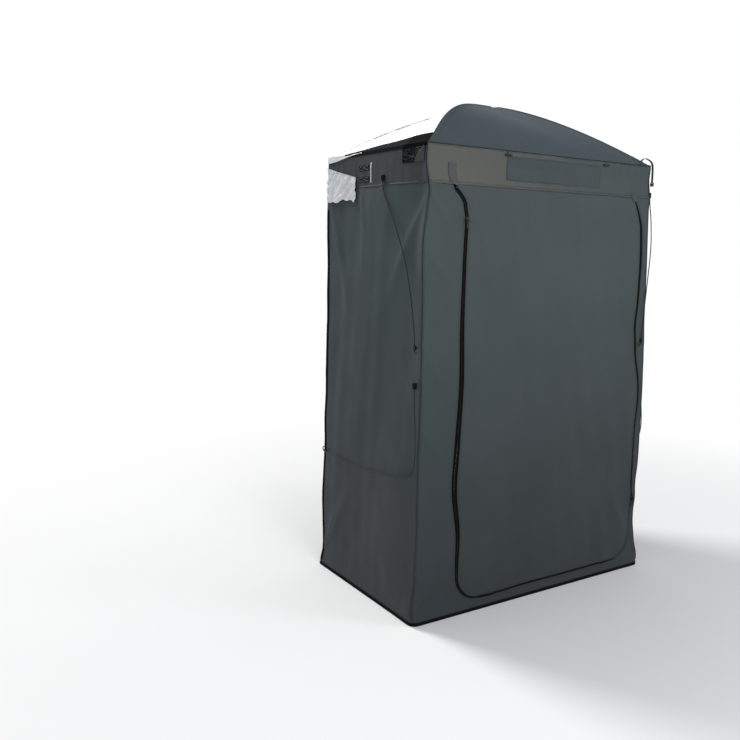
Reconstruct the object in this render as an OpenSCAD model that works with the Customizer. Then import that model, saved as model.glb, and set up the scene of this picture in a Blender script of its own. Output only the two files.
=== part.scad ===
// Privacy shower tent for the open rear doors of a van.
// Origin: centre of the footprint on the ground. -Y is the door side, +Y the open van side, +Z up.

/* [Tent size] */
// Width across the base
base_w = 1400; // [1340:10:1480]
// Width across the top seam
top_w = 1340; // [1280:10:1400]
// Depth from the door side to the open van side
depth = 870; // [800:10:960]
// Height of the top seam, where the roof meets the walls
eave_z = 2050; // [1950:10:2150]
// Rise of the roof's centre above the top seam
roof_rise = 266; // [220:2:300]

/* [Cloth] */
// Thickness of a wall with its coating and seam allowance
cloth_t = 4; // [3:0.5:5]
// Height of the band below the top seam
band_h = 160; // [130:5:190]
// Height of the hem binding
hem_h = 25; // [18:1:35]
// How far the hem binding stands proud of the walls
hem_t = 3; // [2:0.5:4]
// How far the walls stop short of the ground
wall_lift = 2; // [1:0.5:4]
// Thickness of small sewn pieces: tabs, patches and flaps
trim_t = 2; // [1:0.5:3]

/* [Door] */
// Left edge of the door from the centre line
door_left = 464; // [420:2:500]
// Right edge of the door from the centre line
door_right = 630; // [600:2:640]
// Height of the sill zip above the ground
sill_z = 60; // [45:5:90]
// Radius of the door's lower left corner
corner_left_r = 112; // [80:2:140]
// Radius of the door's lower right corner
corner_right_r = 130; // [100:2:160]
// Width of the zip tapes
zip_w = 20; // [14:1:26]
// Clearance round the moving door
door_gap = 0.8; // [0.5:0.1:1.5]

/* [Poles] */
// Diameter of the fibreglass roof poles
pole_d = 11; // [9:0.5:12]
// Outside diameter of the corner pockets
hub_d = 20; // [18:0.5:22]
// Clearance of a pole or rod in its socket
socket_gap = 0.05; // [0.02:0.01:0.1]
// Length of the metal ferrules that join the pole sections
ferrule_h = 70; // [50:5:80]
// Wall of the metal ferrules
ferrule_t = 1.2; // [0.8:0.1:1.5]
// Diameter of the rods in the hem
rod_d = 9; // [7:0.5:10]
// Height of the hem rods above the ground
rod_z = 14; // [12:1:18]

/* [Zip sliders] */
// Width of a slider
slider_w = 14; // [10:1:16]
// Height of a slider
slider_h = 24; // [18:1:30]
// Length of a puller
puller_h = 36; // [28:1:45]

/* [Vents and flaps] */
// Depth of the vent window along the side
vent_w = 165; // [120:5:200]
// Height of the vent window
vent_h = 62; // [45:1:75]
// Distance from the front corner to the vent window
vent_inset = 18; // [12:1:30]
// Drop of the rear apron below the top seam
apron_h = 190; // [150:5:230]
// Length of the side hoods, from the van side forwards
hood_w = 285; // [240:5:320]
// Drop of the side hoods
hood_h = 150; // [120:5:170]
// Running clearance of flaps and other moving cloth
flap_gap = 0.4; // [0.3:0.1:0.8]

/* [Cords] */
// Diameter of the shock cords
cord_d = 5; // [4:0.5:6]

/* [Hidden] */
$fn = 48;

front_y = -depth / 2;                  // outer face of the door side
rear_y = depth / 2;                    // edge of the open van side
band_z = eave_z - band_h;              // lower seam of the band
side_drop = (base_w - top_w) / 2;      // how far a side wall leans in over its height
lean = atan(side_drop / eave_z);
pole_r = pole_d / 2;
hub_r = hub_d / 2;
skin_gap = 0.5;                        // hub to cloth
// Corner names with their signs along X and Y
corners = [["front_left", -1, -1], ["front_right", 1, -1], ["rear_left", -1, 1], ["rear_right", 1, 1]];
sides = [["left", -1], ["right", 1]];

// Half width of the tent at a height
function half_w(z) = base_w / 2 - side_drop * z / eave_z;
function unit(v) = v / norm(v);
function mix(a, b, t) = a + (b - a) * t;
function flip(list) = [for (i = [len(list) - 1:-1:0]) list[i]];

// ---------------------------------------------------------------- zips and door outline

// Waves of the hanging cloth: share of the height from sill to band, and the sideways offset
left_wave = [[1, -62], [0.978, -62], [0.955, -22], [0.925, 0], [0.66, 0], [0.545, 6], [0.39, -14],
             [0.27, -22], [0.17, 0]];
right_wave = [[0.18, 6], [0.35, 8], [0.465, 25], [0.595, -12], [0.665, -18], [0.74, -2], [0.87, 0],
              [0.94, -18], [0.978, -60], [1, -60]];
arc_steps = 6;

function at_height(f) = mix(sill_z, band_z, f);
left_path = [for (w = left_wave) [-door_left + w[1], at_height(w[0])]];
left_arc = [for (i = [0:arc_steps]) let (a = 180 + 90 * i / arc_steps)
    [-door_left + corner_left_r * (1 + cos(a)), sill_z + corner_left_r * (1 + sin(a))]];
right_arc = [for (i = [0:arc_steps]) let (a = 270 + 90 * i / arc_steps)
    [door_right + corner_right_r * (cos(a) - 1), sill_z + corner_right_r * (1 + sin(a))]];
right_path = [for (w = right_wave) [door_right + w[1], at_height(w[0])]];
zip_path = concat(left_path, left_arc, right_arc, right_path);
left_end = len(left_path) + arc_steps;
right_start = left_end + 1;

// A path moved sideways by d: positive to the inside of the door
function aside(path, d) = [for (i = [0:len(path) - 1])
    let (a = unit(path[min(i + 1, len(path) - 1)] - path[max(i - 1, 0)])) path[i] + d * [-a[1], a[0]]];
outer_path = aside(zip_path, -zip_w / 2);
inner_path = aside(zip_path, zip_w / 2);
door_path = [for (p = aside(zip_path, zip_w / 2 + door_gap)) [p[0], min(p[1], band_z - door_gap)]];
function part_of(path, a, b) = [for (i = [a:b]) path[i]];

// Cloth of the door side: an outline in X and Z, as thick as the cloth
module front_cloth(outline, proud = 0, t = cloth_t) {
    translate([0, front_y - proud + t, 0]) rotate([90, 0, 0]) linear_extrude(t) polygon(outline);
}
// Cloth that leans with a side wall, from one height and depth to another
module side_cloth(side, z0, z1, y0, y1, out = 0, t = cloth_t) {
    far = [half_w(z0) + out, half_w(z1) + out];
    translate([0, y1, 0]) rotate([90, 0, 0]) linear_extrude(y1 - y0)
        polygon([[side * far[0], z0], [side * far[1], z1], [side * (far[1] - t), z1],
                 [side * (far[0] - t), z0]]);
}
module zip_tape(a, b) {
    color([0.06, 0.06, 0.07])
        front_cloth(concat(part_of(outer_path, a, b), flip(part_of(inner_path, a, b))), 1, cloth_t + 1);
}

// ---------------------------------------------------------------- roof

// How full the arch is towards each corner, how round it leaves the corner and how it falls from the top
fullness = [5, 1.5, 1.5, 1.8];         // front left, front right, rear left, rear right
roundness = [1.2, 1, 1, 0.9];
droop = [0.34, 0, 0, 0];
stations = [1, 0.985, 0.93, 0.85, 0.7, 0.55, 0.4, 0.25, 0.12];
rim_s = stations[1];                   // the roof's flat rim lies outside this share of the plan
pole_s = stations[3];                  // the poles follow the roof inside this share
cloth_sag = 14;
face_steps = 8;

function arch(s, k) = eave_z + roof_rise * (1 - droop[k] * s)
    * pow(max(0, 1 - pow(s / rim_s, fullness[k])), roundness[k]);
function arch_slope(s, k) = (arch(max(0, s - 0.01), k) - arch(s + 0.01, k)) / 0.02 / (depth / 2);
// Underside of the roof between two corners at share s from the centre and t across the face
function roof_point(s, t, a, b) =
    let (plan = s * mix([corners[a][1], corners[a][2]], [corners[b][1], corners[b][2]], t))
    [plan[0] * top_w / 2, plan[1] * depth / 2,
     mix(arch(s, a), arch(s, b), t) - cloth_sag * 16 * t * (1 - t) * s * max(0, rim_s - s)];

module roof_face(a, b, tone) {
    rows = len(stations);
    n = face_steps + 1;
    under = concat([for (s = stations) for (i = [0:face_steps]) roof_point(s, i / face_steps, a, b)],
                   [[0, 0, eave_z + roof_rise]]);
    over = [for (p = under) p + [0, 0, cloth_t]];
    m = len(under);
    apex = m - 1;
    skin = concat(
        [for (r = [0:rows - 2]) for (i = [0:face_steps - 1])
            [r * n + i, r * n + i + 1, (r + 1) * n + i + 1]],
        [for (r = [0:rows - 2]) for (i = [0:face_steps - 1])
            [r * n + i, (r + 1) * n + i + 1, (r + 1) * n + i]],
        [for (i = [0:face_steps - 1]) [(rows - 1) * n + i, (rows - 1) * n + i + 1, apex]]);
    rim = concat([for (i = [0:face_steps]) i],
                 [for (r = [1:rows - 1]) r * n + face_steps], [apex],
                 [for (r = [rows - 1:-1:1]) r * n]);
    wall = [for (i = [0:len(rim) - 1]) let (p = rim[i], q = rim[(i + 1) % len(rim)])
        each [[p, p + m, q + m], [p, q + m, q]]];
    color(tone) polyhedron(concat(under, over),
        concat([for (f = skin) f], [for (f = skin) [f[2] + m, f[1] + m, f[0] + m]], wall));
}

// ---------------------------------------------------------------- tubes swept along points

// A tube along points; across is a direction that the route never takes
module swept(points, d, across, sides_n = 8) {
    n = len(points);
    rings = [for (i = [0:n - 1])
        let (a = unit(points[min(i + 1, n - 1)] - points[max(i - 1, 0)]),
             u = unit(cross(a, across)), v = cross(a, u))
        for (k = [0:sides_n - 1]) let (w = 360 * k / sides_n)
            points[i] + d / 2 * (cos(w) * u + sin(w) * v)];
    tube = [for (i = [0:n - 2]) for (k = [0:sides_n - 1]) let (l = (k + 1) % sides_n)
        each [[i * sides_n + k, (i + 1) * sides_n + k, (i + 1) * sides_n + l],
              [i * sides_n + k, (i + 1) * sides_n + l, i * sides_n + l]]];
    polyhedron(rings, concat(tube, [[for (k = [0:sides_n - 1]) k]],
        [[for (k = [sides_n - 1:-1:0]) (n - 1) * sides_n + k]]));
}

// ---------------------------------------------------------------- frame

// The roof hangs between the van's open doors on its poles; the hem is held square by its rods
hub_inset = cloth_t + skin_gap + hub_r;   // pocket centre from the walls' outer faces
hub_z = eave_z - 10;
bore_r = pole_r + socket_gap;
rod_r = rod_d / 2;
rod_bore_r = rod_r + socket_gap;
elbow_t = 2;
elbow_half = rod_bore_r + elbow_t;
chamfer = 3;
elbow_reach = 34;
rod_inset = cloth_t + skin_gap + elbow_half;
rod_start = 10;                           // bare end of a rod from the elbow's centre
rod_x = half_w(rod_z) - rod_inset;
rod_y = front_y + rod_inset;

module hem_rod_front() {
    color([0.12, 0.12, 0.13]) translate([-rod_x + rod_start, rod_y, rod_z]) rotate([0, 90, 0])
        cylinder(h = 2 * (rod_x - rod_start), r = rod_r);
}
module hem_rod_side(side) {
    color([0.12, 0.12, 0.13]) translate([side * rod_x, rod_y + rod_start, rod_z]) rotate([-90, 0, 0])
        cylinder(h = rear_y - cloth_t - rod_y - rod_start, r = rod_r);
}
// A square corner block with a socket for each rod
module hem_elbow(side) {
    outline = [[chamfer - elbow_half, -elbow_half], [elbow_reach, -elbow_half], [elbow_reach, elbow_half],
               [elbow_half, elbow_half], [elbow_half, elbow_reach], [-elbow_half, elbow_reach],
               [-elbow_half, chamfer - elbow_half]];
    color([0.08, 0.08, 0.09]) translate([side * rod_x, rod_y, rod_z]) difference() {
        translate([0, 0, -elbow_half]) linear_extrude(2 * elbow_half)
            polygon([for (p = outline) [-side * p[0], p[1]]]);
        translate([0, rod_start - 1, 0]) rotate([-90, 0, 0]) cylinder(h = elbow_reach, r = rod_bore_r);
        translate([-side * (rod_start - 1), 0, 0]) rotate([0, -side * 90, 0])
            cylinder(h = elbow_reach, r = rod_bore_r);
    }
}

// Roof pole axis: under the ridge, dropped near the centre where the poles cross in their tie
tie_wall = 2.5;
tie_gap = 0.6;
tie_len = 5;
cross_reach = 0.3;                        // share of the plan over which the poles dip
under_gap = 3.5;
function bump(s) = pow(max(0, 1 - pow(s / cross_reach, 2)), 2);
function pole_drop(s, k, lower) = (pole_r + under_gap) * sqrt(1 + pow(arch_slope(s, k), 2))
    + bump(s) * (tie_wall + tie_gap + 1.5 + (lower ? pole_d + under_gap : 0));
function pole_point(s, k, lower) = [corners[k][1] * s * top_w / 2, corners[k][2] * s * depth / 2,
    arch(s, k) - pole_drop(s, k, lower)];
function pole_end(k) = pole_point(pole_s, k, false);
function hub_at(k) = [corners[k][1] * (half_w(hub_z) - hub_inset),
    corners[k][2] * (depth / 2 - hub_inset), hub_z];
function hub_dir(k) = unit(pole_end(k) - hub_at(k));
boss_t = 2.4;
boss_h = 42;
boss_floor = 9;
pole_stations = part_of(stations, 3, len(stations) - 1);
function half_pole(k, lower) = concat([hub_at(k) + hub_dir(k) * (boss_floor + 1)],
    [hub_at(k) + hub_dir(k) * boss_h],
    [for (s = pole_stations) pole_point(s, k, lower)], [pole_point(0.06, k, lower)]);
module roof_pole(a, b, lower) {
    route = concat(half_pole(a, lower), [pole_point(0, a, lower)], flip(half_pole(b, lower)));
    along = [corners[b][1] * top_w, corners[b][2] * depth, 0];
    color([0.12, 0.12, 0.13]) swept(route, pole_d, cross(along, [0, 0, 1]), 10);
}
// A turned pocket: a rounded foot in the cloth corner and a socket for the pole's tip
module corner_hub(k) {
    v = hub_dir(k);
    boss_r = bore_r + boss_t;
    color([0.08, 0.08, 0.09]) translate(hub_at(k)) rotate([0, acos(v[2]), atan2(v[1], v[0])])
        rotate_extrude() polygon([[0, -0.6 * hub_r], [0.75 * hub_r, -0.6 * hub_r],
            [0.95 * hub_r, -0.25 * hub_r], [0.95 * hub_r, 0.3 * hub_r], [boss_r, 0.55 * hub_r],
            [boss_r, boss_h], [bore_r, boss_h], [bore_r, boss_floor], [0, boss_floor]]);
}
// Metal sleeves over the joints between pole sections, on the straight stretch between two stations
sleeve_gap = 0.3;
module pole_ferrule(k, lower) {
    a = pole_point(stations[5], k, lower);
    b = pole_point(stations[6], k, lower);
    v = unit(b - a);
    color([0.7, 0.7, 0.72]) translate((a + b) / 2) rotate([0, acos(v[2]), atan2(v[1], v[0])])
        difference() {
            cylinder(h = ferrule_h, r = pole_r + sleeve_gap + ferrule_t, center = true);
            cylinder(h = ferrule_h + 2, r = pole_r + sleeve_gap, center = true);
        }
}
module pole_ferrules() {
    for (k = [0, 3]) pole_ferrule(k, false);
    for (k = [1, 2]) pole_ferrule(k, true);
}
module pole_tie() {
    top = pole_point(0, 0, false);
    low = pole_point(0, 1, true);
    tie_r = (top[2] - low[2]) / 2 + pole_r + tie_gap;
    color([0.1, 0.1, 0.1]) translate((top + low) / 2) rotate([0, 90, 0]) difference() {
        cylinder(h = tie_len, r = tie_r + tie_wall, center = true);
        cylinder(h = tie_len + 2, r = tie_r, center = true);
    }
}

// ---------------------------------------------------------------- bands, walls and hem

vent_y0 = front_y + vent_inset;
vent_y1 = vent_y0 + vent_w;
vent_z1 = eave_z - 6;
vent_z0 = vent_z1 - vent_h;
band_tone = [0.36, 0.38, 0.37];
wall_tone = [0.29, 0.31, 0.32];
silver_tone = [0.86, 0.87, 0.88];
strip_in = front_y + cloth_t;          // where the side walls begin behind the front cloth

module front_band() {
    color(band_tone) front_cloth([[-half_w(band_z), band_z], [half_w(band_z), band_z],
                                  [half_w(eave_z), eave_z], [-half_w(eave_z), eave_z]]);
}
module rear_band() {
    inner = half_w(eave_z) - cloth_t;
    color(band_tone) translate([-inner, rear_y - cloth_t, eave_z - band_h / 2])
        cube([2 * inner, cloth_t, band_h / 2]);
}
module side_band(side) {
    color(band_tone) difference() {
        side_cloth(side, band_z, eave_z, strip_in, rear_y);
        translate([side * half_w(eave_z) - 50, vent_y0, vent_z0]) cube([100, vent_w, vent_h]);
    }
}
module side_wall(side) { color(wall_tone) side_cloth(side, wall_lift, band_z, strip_in, rear_y); }
module front_strip_left() {
    color(wall_tone) front_cloth(concat(
        [[-half_w(wall_lift), wall_lift], [outer_path[len(left_path)][0], wall_lift]],
        flip(part_of(outer_path, 0, len(left_path))), [[-half_w(band_z), band_z]]));
}
module front_strip_right() {
    last = len(zip_path) - 1;
    first = right_start + arc_steps;
    color(wall_tone) front_cloth(concat(
        [[outer_path[first][0], wall_lift]], [[half_w(wall_lift), wall_lift], [half_w(band_z), band_z]],
        flip(part_of(outer_path, first, last))));
}
module front_sill() {
    a = len(left_path);
    b = right_start + arc_steps;
    color(wall_tone) front_cloth(concat(
        [[outer_path[a][0], wall_lift], [outer_path[b][0], wall_lift]], flip(part_of(outer_path, a, b))));
}
module door_panel() { color(wall_tone) front_cloth(door_path); }
hood_top = band_z + 88;
edge_w = 22;                           // black binding down the open edges of the side walls
edge_t = 1;
module hem_front() {
    outer = half_w(0) + hem_t;
    color([0.05, 0.05, 0.06]) translate([-outer, front_y - hem_t, 0]) cube([2 * outer, hem_t, hem_h]);
}
module rear_edge(side) {
    color([0.05, 0.05, 0.06])
        side_cloth(side, hem_h, hood_top - hood_h - edge_w, rear_y - edge_w, rear_y, edge_t, edge_t);
}
module hem_side(side) {
    color([0.05, 0.05, 0.06]) side_cloth(side, 0, hem_h, front_y, rear_y, hem_t, hem_t);
}

// ---------------------------------------------------------------- trim on the door side

patch_x = [-232, 338];
patch_z = [15, 138];                   // below the top seam
module blank_patch() {
    low = eave_z - patch_z[1];
    high = eave_z - patch_z[0];
    color([0.28, 0.31, 0.33]) front_cloth([[patch_x[0], low], [patch_x[1], low], [patch_x[1], high],
                                           [patch_x[0], high]], trim_t, trim_t);
}
garage_w = 48;
garage_h = 76;
module zip_garage() {
    x = zip_path[0][0] - garage_w / 2;
    z = band_z + 8;
    color([0.33, 0.35, 0.35]) front_cloth([[x, z], [x + garage_w, z], [x + garage_w, z + garage_h],
        [x, z + garage_h]], trim_t, trim_t);
}
toggle_x = [-248, 352];
loop_w = 8;
loop_h = 22;
toggle_r = 4.5;
toggle_l = 34;
module toggle(x) {
    back = front_y - flap_gap;
    color([0.05, 0.05, 0.06]) {
        translate([x - loop_w / 2, back - trim_t, eave_z - loop_h]) cube([loop_w, trim_t, loop_h - flap_gap]);
        translate([x, back - trim_t - toggle_r - 0.1, eave_z - loop_h + toggle_r])
            rotate([0, 90, 0]) cylinder(h = toggle_l, r = toggle_r, center = true);
    }
}

// Sliders: a body in front of the tape, two lugs and a pin that carries the puller's eye
slider_t = 7;
tape_front = front_y - 1;
slider_back = tape_front - flap_gap;
pin_r = 1.2;
eye_r = 3.2;
eye_w = 5;
lug_w = 2;
pin_y = slider_back - slider_t - eye_r - 0.6;
slider_left_z = at_height(0.925) - 10;
slider_right_z = at_height(0.18) - 20;
slider_left_at = [-door_left, slider_left_z];
slider_right_at = [door_right + right_wave[0][1], slider_right_z];
module slider(p) {
    color([0.16, 0.16, 0.17]) translate([p[0], 0, p[1]]) {
        translate([-slider_w / 2, slider_back - slider_t, -slider_h / 2])
            cube([slider_w, slider_t, slider_h]);
        for (s = [-1, 1]) translate([s * (eye_w / 2 + 0.4 + lug_w / 2) - lug_w / 2, pin_y - eye_r, -eye_r])
            cube([lug_w, slider_back - slider_t - pin_y + eye_r, 2 * eye_r]);
        translate([0, pin_y, 0]) rotate([0, 90, 0])
            cylinder(h = eye_w + 2 * lug_w + 0.8, r = pin_r, center = true);
    }
}
module puller(p) {
    color([0.1, 0.1, 0.11]) translate([p[0], pin_y, p[1]]) difference() {
        union() {
            rotate([0, 90, 0]) cylinder(h = eye_w, r = eye_r, center = true);
            translate([-eye_w / 2, -1, -puller_h * 0.4]) cube([eye_w, 2, puller_h * 0.4]);
            translate([-eye_w, -1, -puller_h]) cube([2 * eye_w, 2, puller_h * 0.65]);
        }
        rotate([0, 90, 0]) cylinder(h = eye_w + 2, r = pin_r + 0.08, center = true);
    }
}

// ---------------------------------------------------------------- side trim, flaps and apron

module vent_meshes() {
    for (s = sides) color([0.03, 0.03, 0.03]) intersection() {
        side_cloth(s[1], band_z, eave_z, strip_in, rear_y, -1, 2);
        translate([s[1] * half_w(eave_z) - 50, vent_y0, vent_z0]) cube([100, vent_w, vent_h]);
    }
}
// Children are drawn with +X away from the side wall, Y along it and Z up the wall
module on_side(side) {
    translate([side * base_w / 2, 0, 0]) rotate([0, -side * lean, 0])
        mirror([side < 0 ? 1 : 0, 0, 0]) children();
}
flap_w = 78;
module vent_flap(side) {
    color(band_tone) on_side(side) translate([flap_gap, 0, 0]) rotate([90, 0, 90]) linear_extrude(trim_t)
        polygon([[vent_y0 + 2, vent_z0 - 4], [vent_y0 + flap_w, vent_z0 - 4],
                 [vent_y0 + flap_w * 0.45, vent_z0 + vent_h * 0.5], [vent_y0 + 2, vent_z1 - 4]]);
}
module side_hood(side) {
    color(silver_tone) on_side(side) translate([flap_gap, rear_y - hood_w, hood_top - hood_h])
        cube([trim_t + 1, hood_w, hood_h]);
}
module rear_apron() {
    inner = half_w(eave_z) - 30;
    color(silver_tone) translate([-inner, rear_y + flap_gap, eave_z - apron_h])
        cube([2 * inner, trim_t + 1, apron_h - flap_gap]);
}
strap_y = 30;
strap_w = 100;
strap_h = 26;
strap_rows = [27, 78];                 // above the band's lower seam
module strap_patches() {
    for (s = sides, z = strap_rows) color([0.04, 0.04, 0.05]) on_side(s[1])
        translate([0.1, strap_y, band_z + z]) cube([trim_t, strap_w, strap_h]);
}
strip_w = 9;
strip_h = 90;
module guide_strips() {
    for (s = sides) color([0.8, 0.81, 0.8]) on_side(s[1])
        translate([0.1, strap_y - 14 - strip_w, band_z + 22]) cube([trim_t, strip_w, strip_h]);
}

// ---------------------------------------------------------------- shock cords

// Each route starts at its sewn tab and ends in its hook. Round numbers, in millimetres.
upper_left_route = [
    [-679, -100, 1912], [-679, -100, 1900], [-680, -110, 1872], [-680, -128, 1840], [-681, -150, 1808],
    [-681, -174, 1776], [-682, -198, 1742], [-682, -222, 1706], [-683, -246, 1668], [-684, -270, 1628],
    [-684, -292, 1586], [-685, -312, 1542], [-686, -330, 1496], [-686, -346, 1448], [-687, -360, 1400],
    [-688, -373, 1350], [-689, -385, 1298], [-690, -394, 1250], [-690, -396, 1228], [-690, -396, 1216]];
upper_right_route = [
    [684, -426, 1896], [684, -426, 1884], [687, -429, 1840], [690, -434, 1790], [691, -437, 1740],
    [691, -440, 1690], [689, -442, 1640], [686, -442, 1590], [681, -442, 1540], [676, -442, 1490],
    [671, -442, 1440], [666, -442, 1390], [661, -442, 1340], [656, -442, 1290], [652, -442, 1240],
    [651, -442, 1205], [651, -442, 1193]];
lower_left_route = [
    [-692, -404, 1030], [-692, -404, 1018], [-693, -407, 980], [-694, -412, 930], [-694, -417, 880],
    [-695, -421, 830], [-696, -424, 780], [-696, -423, 735], [-697, -416, 698], [-698, -400, 668],
    [-698, -374, 648], [-698, -330, 635], [-698, -270, 624], [-698, -200, 614], [-698, -120, 605],
    [-698, -40, 597], [-698, 40, 591], [-698, 115, 588], [-698, 190, 590], [-698, 270, 594],
    [-698, 330, 598], [-698, 370, 600], [-698, 382, 600]];
lower_right_route = [for (p = lower_left_route) [-p[0], p[1], p[2]]];
module cord(route) { color([0.05, 0.05, 0.05]) swept(route, cord_d, [1, 0, 0]); }

tab_w = 16;
tab_h = 26;
tab_t = 12;
keeper_w = 14;
// A sewn tab on a side wall whose lower face is where a cord starts
module exit_tab(p) {
    side = sign(p[0]);
    side_cloth(side, p[2], p[2] + tab_h, p[1] - tab_w / 2, p[1] + tab_w / 2, tab_t, tab_t);
}
// A sewn keeper on a side wall that a hook's neck lies against, round height z
module side_keeper(p, y, z) {
    side = sign(p[0]);
    out = abs(p[0]) - ferrule_r;
    translate([0, y + keeper_w / 2, 0]) rotate([90, 0, 0]) linear_extrude(keeper_w)
        polygon([[side * half_w(z - keeper_w / 2), z - keeper_w / 2], [side * out, z - keeper_w / 2],
                 [side * out, z + keeper_w / 2], [side * half_w(z + keeper_w / 2), z + keeper_w / 2]]);
}
hook_r = 9;
hook_wire = 2.4;
ferrule_r = 5;
hook_neck = 24;
// A moulded hook: a socket on the cord's end and a bent wire; turn lays it along the cord
module hook_at(p, turn) {
    color([0.05, 0.05, 0.05]) translate(p) rotate(turn) {
        translate([0, 0, -hook_neck]) cylinder(h = hook_neck, r = ferrule_r);
        translate([0, hook_r, -hook_neck - 4]) rotate([0, 90, 0]) difference() {
            rotate_extrude() translate([hook_r, 0]) circle(r = hook_wire);
            translate([-2 * hook_r, 0, -hook_r]) cube([2 * hook_r, 2 * hook_r, 2 * hook_r]);
        }
        translate([0, 0, -hook_neck - 4]) cylinder(h = 5, r = hook_wire);
    }
}
module cord_hooks() {
    hook_at(last(upper_left_route), [0, 0, 180]);
    hook_at(last(upper_right_route), [0, 0, 90]);
    for (r = [lower_left_route, lower_right_route]) hook_at(last(r), [90, 0, 0]);
}
function last(list) = list[len(list) - 1];
module cord_tabs() {
    color([0.06, 0.06, 0.07]) {
        for (r = [upper_left_route, upper_right_route, lower_left_route, lower_right_route]) exit_tab(r[0]);
        left_end_at = last(upper_left_route);
        side_keeper(left_end_at, left_end_at[1], left_end_at[2] - hook_neck / 2);
        for (r = [lower_left_route, lower_right_route])
            side_keeper(last(r), last(r)[1] + hook_neck / 2, last(r)[2]);
        translate(last(upper_right_route) + [-keeper_w / 2, ferrule_r, -hook_neck / 2 - keeper_w / 2])
            cube([keeper_w, front_y - last(upper_right_route)[1] - ferrule_r, keeper_w]);
    }
}

hem_rod_front();
for (k = [0:3]) corner_hub(k);
roof_pole(0, 3, false);  // roof_pole_a
roof_pole(1, 2, true);  // roof_pole_b
pole_ferrules();
pole_tie();
roof_face(0, 1, [0.32, 0.36, 0.38]);  // roof_front
roof_face(2, 0, silver_tone);  // roof_left
roof_face(1, 3, silver_tone);  // roof_right
roof_face(3, 2, silver_tone);  // roof_rear
front_band();
rear_band();
for (s = sides) {
    side_band(s[1]);
    side_wall(s[1]);
    hem_side(s[1]);
    hem_rod_side(s[1]);
    hem_elbow(s[1]);
    rear_edge(s[1]);
    vent_flap(s[1]);
    side_hood(s[1]);
}
front_strip_left();
front_strip_right();
front_sill();
door_panel();
zip_tape(0, left_end);  // zip_left
zip_tape(left_end, right_start);  // zip_bottom
zip_tape(right_start, len(zip_path) - 1);  // zip_right
zip_garage();
blank_patch();
slider(slider_left_at);  // zip_slider_left
slider(slider_right_at);  // zip_slider_right
puller(slider_left_at);  // zip_puller_left
puller(slider_right_at);  // zip_puller_right
toggle(toggle_x[0]);  // toggle_left
toggle(toggle_x[1]);  // toggle_right
vent_meshes();
rear_apron();
strap_patches();
guide_strips();
hem_front();
cord_tabs();
cord(upper_left_route);  // cord_upper_left
cord(upper_right_route);  // cord_upper_right
cord(lower_left_route);  // cord_lower_left
cord(lower_right_route);  // cord_lower_right
cord_hooks();
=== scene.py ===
"""Privacy shower tent: the looks of every piece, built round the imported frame. Metres, frame of the CAD."""

import math

import bmesh
import bpy
import numpy as np
from mathutils import Matrix, Vector


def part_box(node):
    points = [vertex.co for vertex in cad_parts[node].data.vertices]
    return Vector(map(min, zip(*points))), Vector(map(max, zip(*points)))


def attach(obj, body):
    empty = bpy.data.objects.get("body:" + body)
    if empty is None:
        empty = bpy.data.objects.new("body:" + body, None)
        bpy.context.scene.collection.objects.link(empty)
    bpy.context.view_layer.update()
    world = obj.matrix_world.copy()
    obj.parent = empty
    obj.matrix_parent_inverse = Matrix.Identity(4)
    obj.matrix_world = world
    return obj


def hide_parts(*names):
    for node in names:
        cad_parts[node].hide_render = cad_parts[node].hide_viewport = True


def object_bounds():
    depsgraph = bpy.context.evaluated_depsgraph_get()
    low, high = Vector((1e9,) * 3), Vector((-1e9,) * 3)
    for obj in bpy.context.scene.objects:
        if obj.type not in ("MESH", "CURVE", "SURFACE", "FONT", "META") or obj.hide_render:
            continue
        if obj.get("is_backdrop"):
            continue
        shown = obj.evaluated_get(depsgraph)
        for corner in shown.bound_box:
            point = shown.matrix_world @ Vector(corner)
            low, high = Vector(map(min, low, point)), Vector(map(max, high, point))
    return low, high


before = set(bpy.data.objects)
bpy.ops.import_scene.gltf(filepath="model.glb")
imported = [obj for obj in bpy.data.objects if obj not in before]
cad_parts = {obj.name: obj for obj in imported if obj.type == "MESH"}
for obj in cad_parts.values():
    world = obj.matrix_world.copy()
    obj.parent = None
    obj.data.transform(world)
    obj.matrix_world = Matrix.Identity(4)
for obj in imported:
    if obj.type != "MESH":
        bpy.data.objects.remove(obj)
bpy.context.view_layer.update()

# ---------------------------------------------------------------- sizes shared with the frame

BASE_W, TOP_W, DEPTH = 1.40, 1.34, 0.87
EAVE_Z, ROOF_RISE, BAND_H = 2.05, 0.266, 0.16
BAND_Z = EAVE_Z - BAND_H
FRONT_Y, REAR_Y = -DEPTH / 2, DEPTH / 2
SILL_Z, DOOR_LEFT, DOOR_RIGHT = 0.060, 0.464, 0.630
CORNER_LEFT_R, CORNER_RIGHT_R = 0.112, 0.130
CLOTH = 0.0012
ROOF_T = 0.004
FULLNESS = [5, 1.5, 1.5, 1.8]
ROUNDNESS = [1.2, 1, 1, 0.9]
DROOP = [0.34, 0, 0, 0]
CORNERS = [(-1, -1), (1, -1), (-1, 1), (1, 1)]
SIDES = ((-1, "left"), (1, "right"))
RIM_S = 0.985

# ---------------------------------------------------------------- camera, at the photo's viewpoint

CAM_AT = Vector((-2.59042, -3.30501, 1.60728))
CAM_YAW, CAM_PITCH, CAM_ROLL = 0.60922, 0.0994, 0.02076
CAM_FOCAL_PX, IMAGE_PX, CAM_CENTRE_PX = 834.75, 740.0, (440.0, 335.0)


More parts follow.
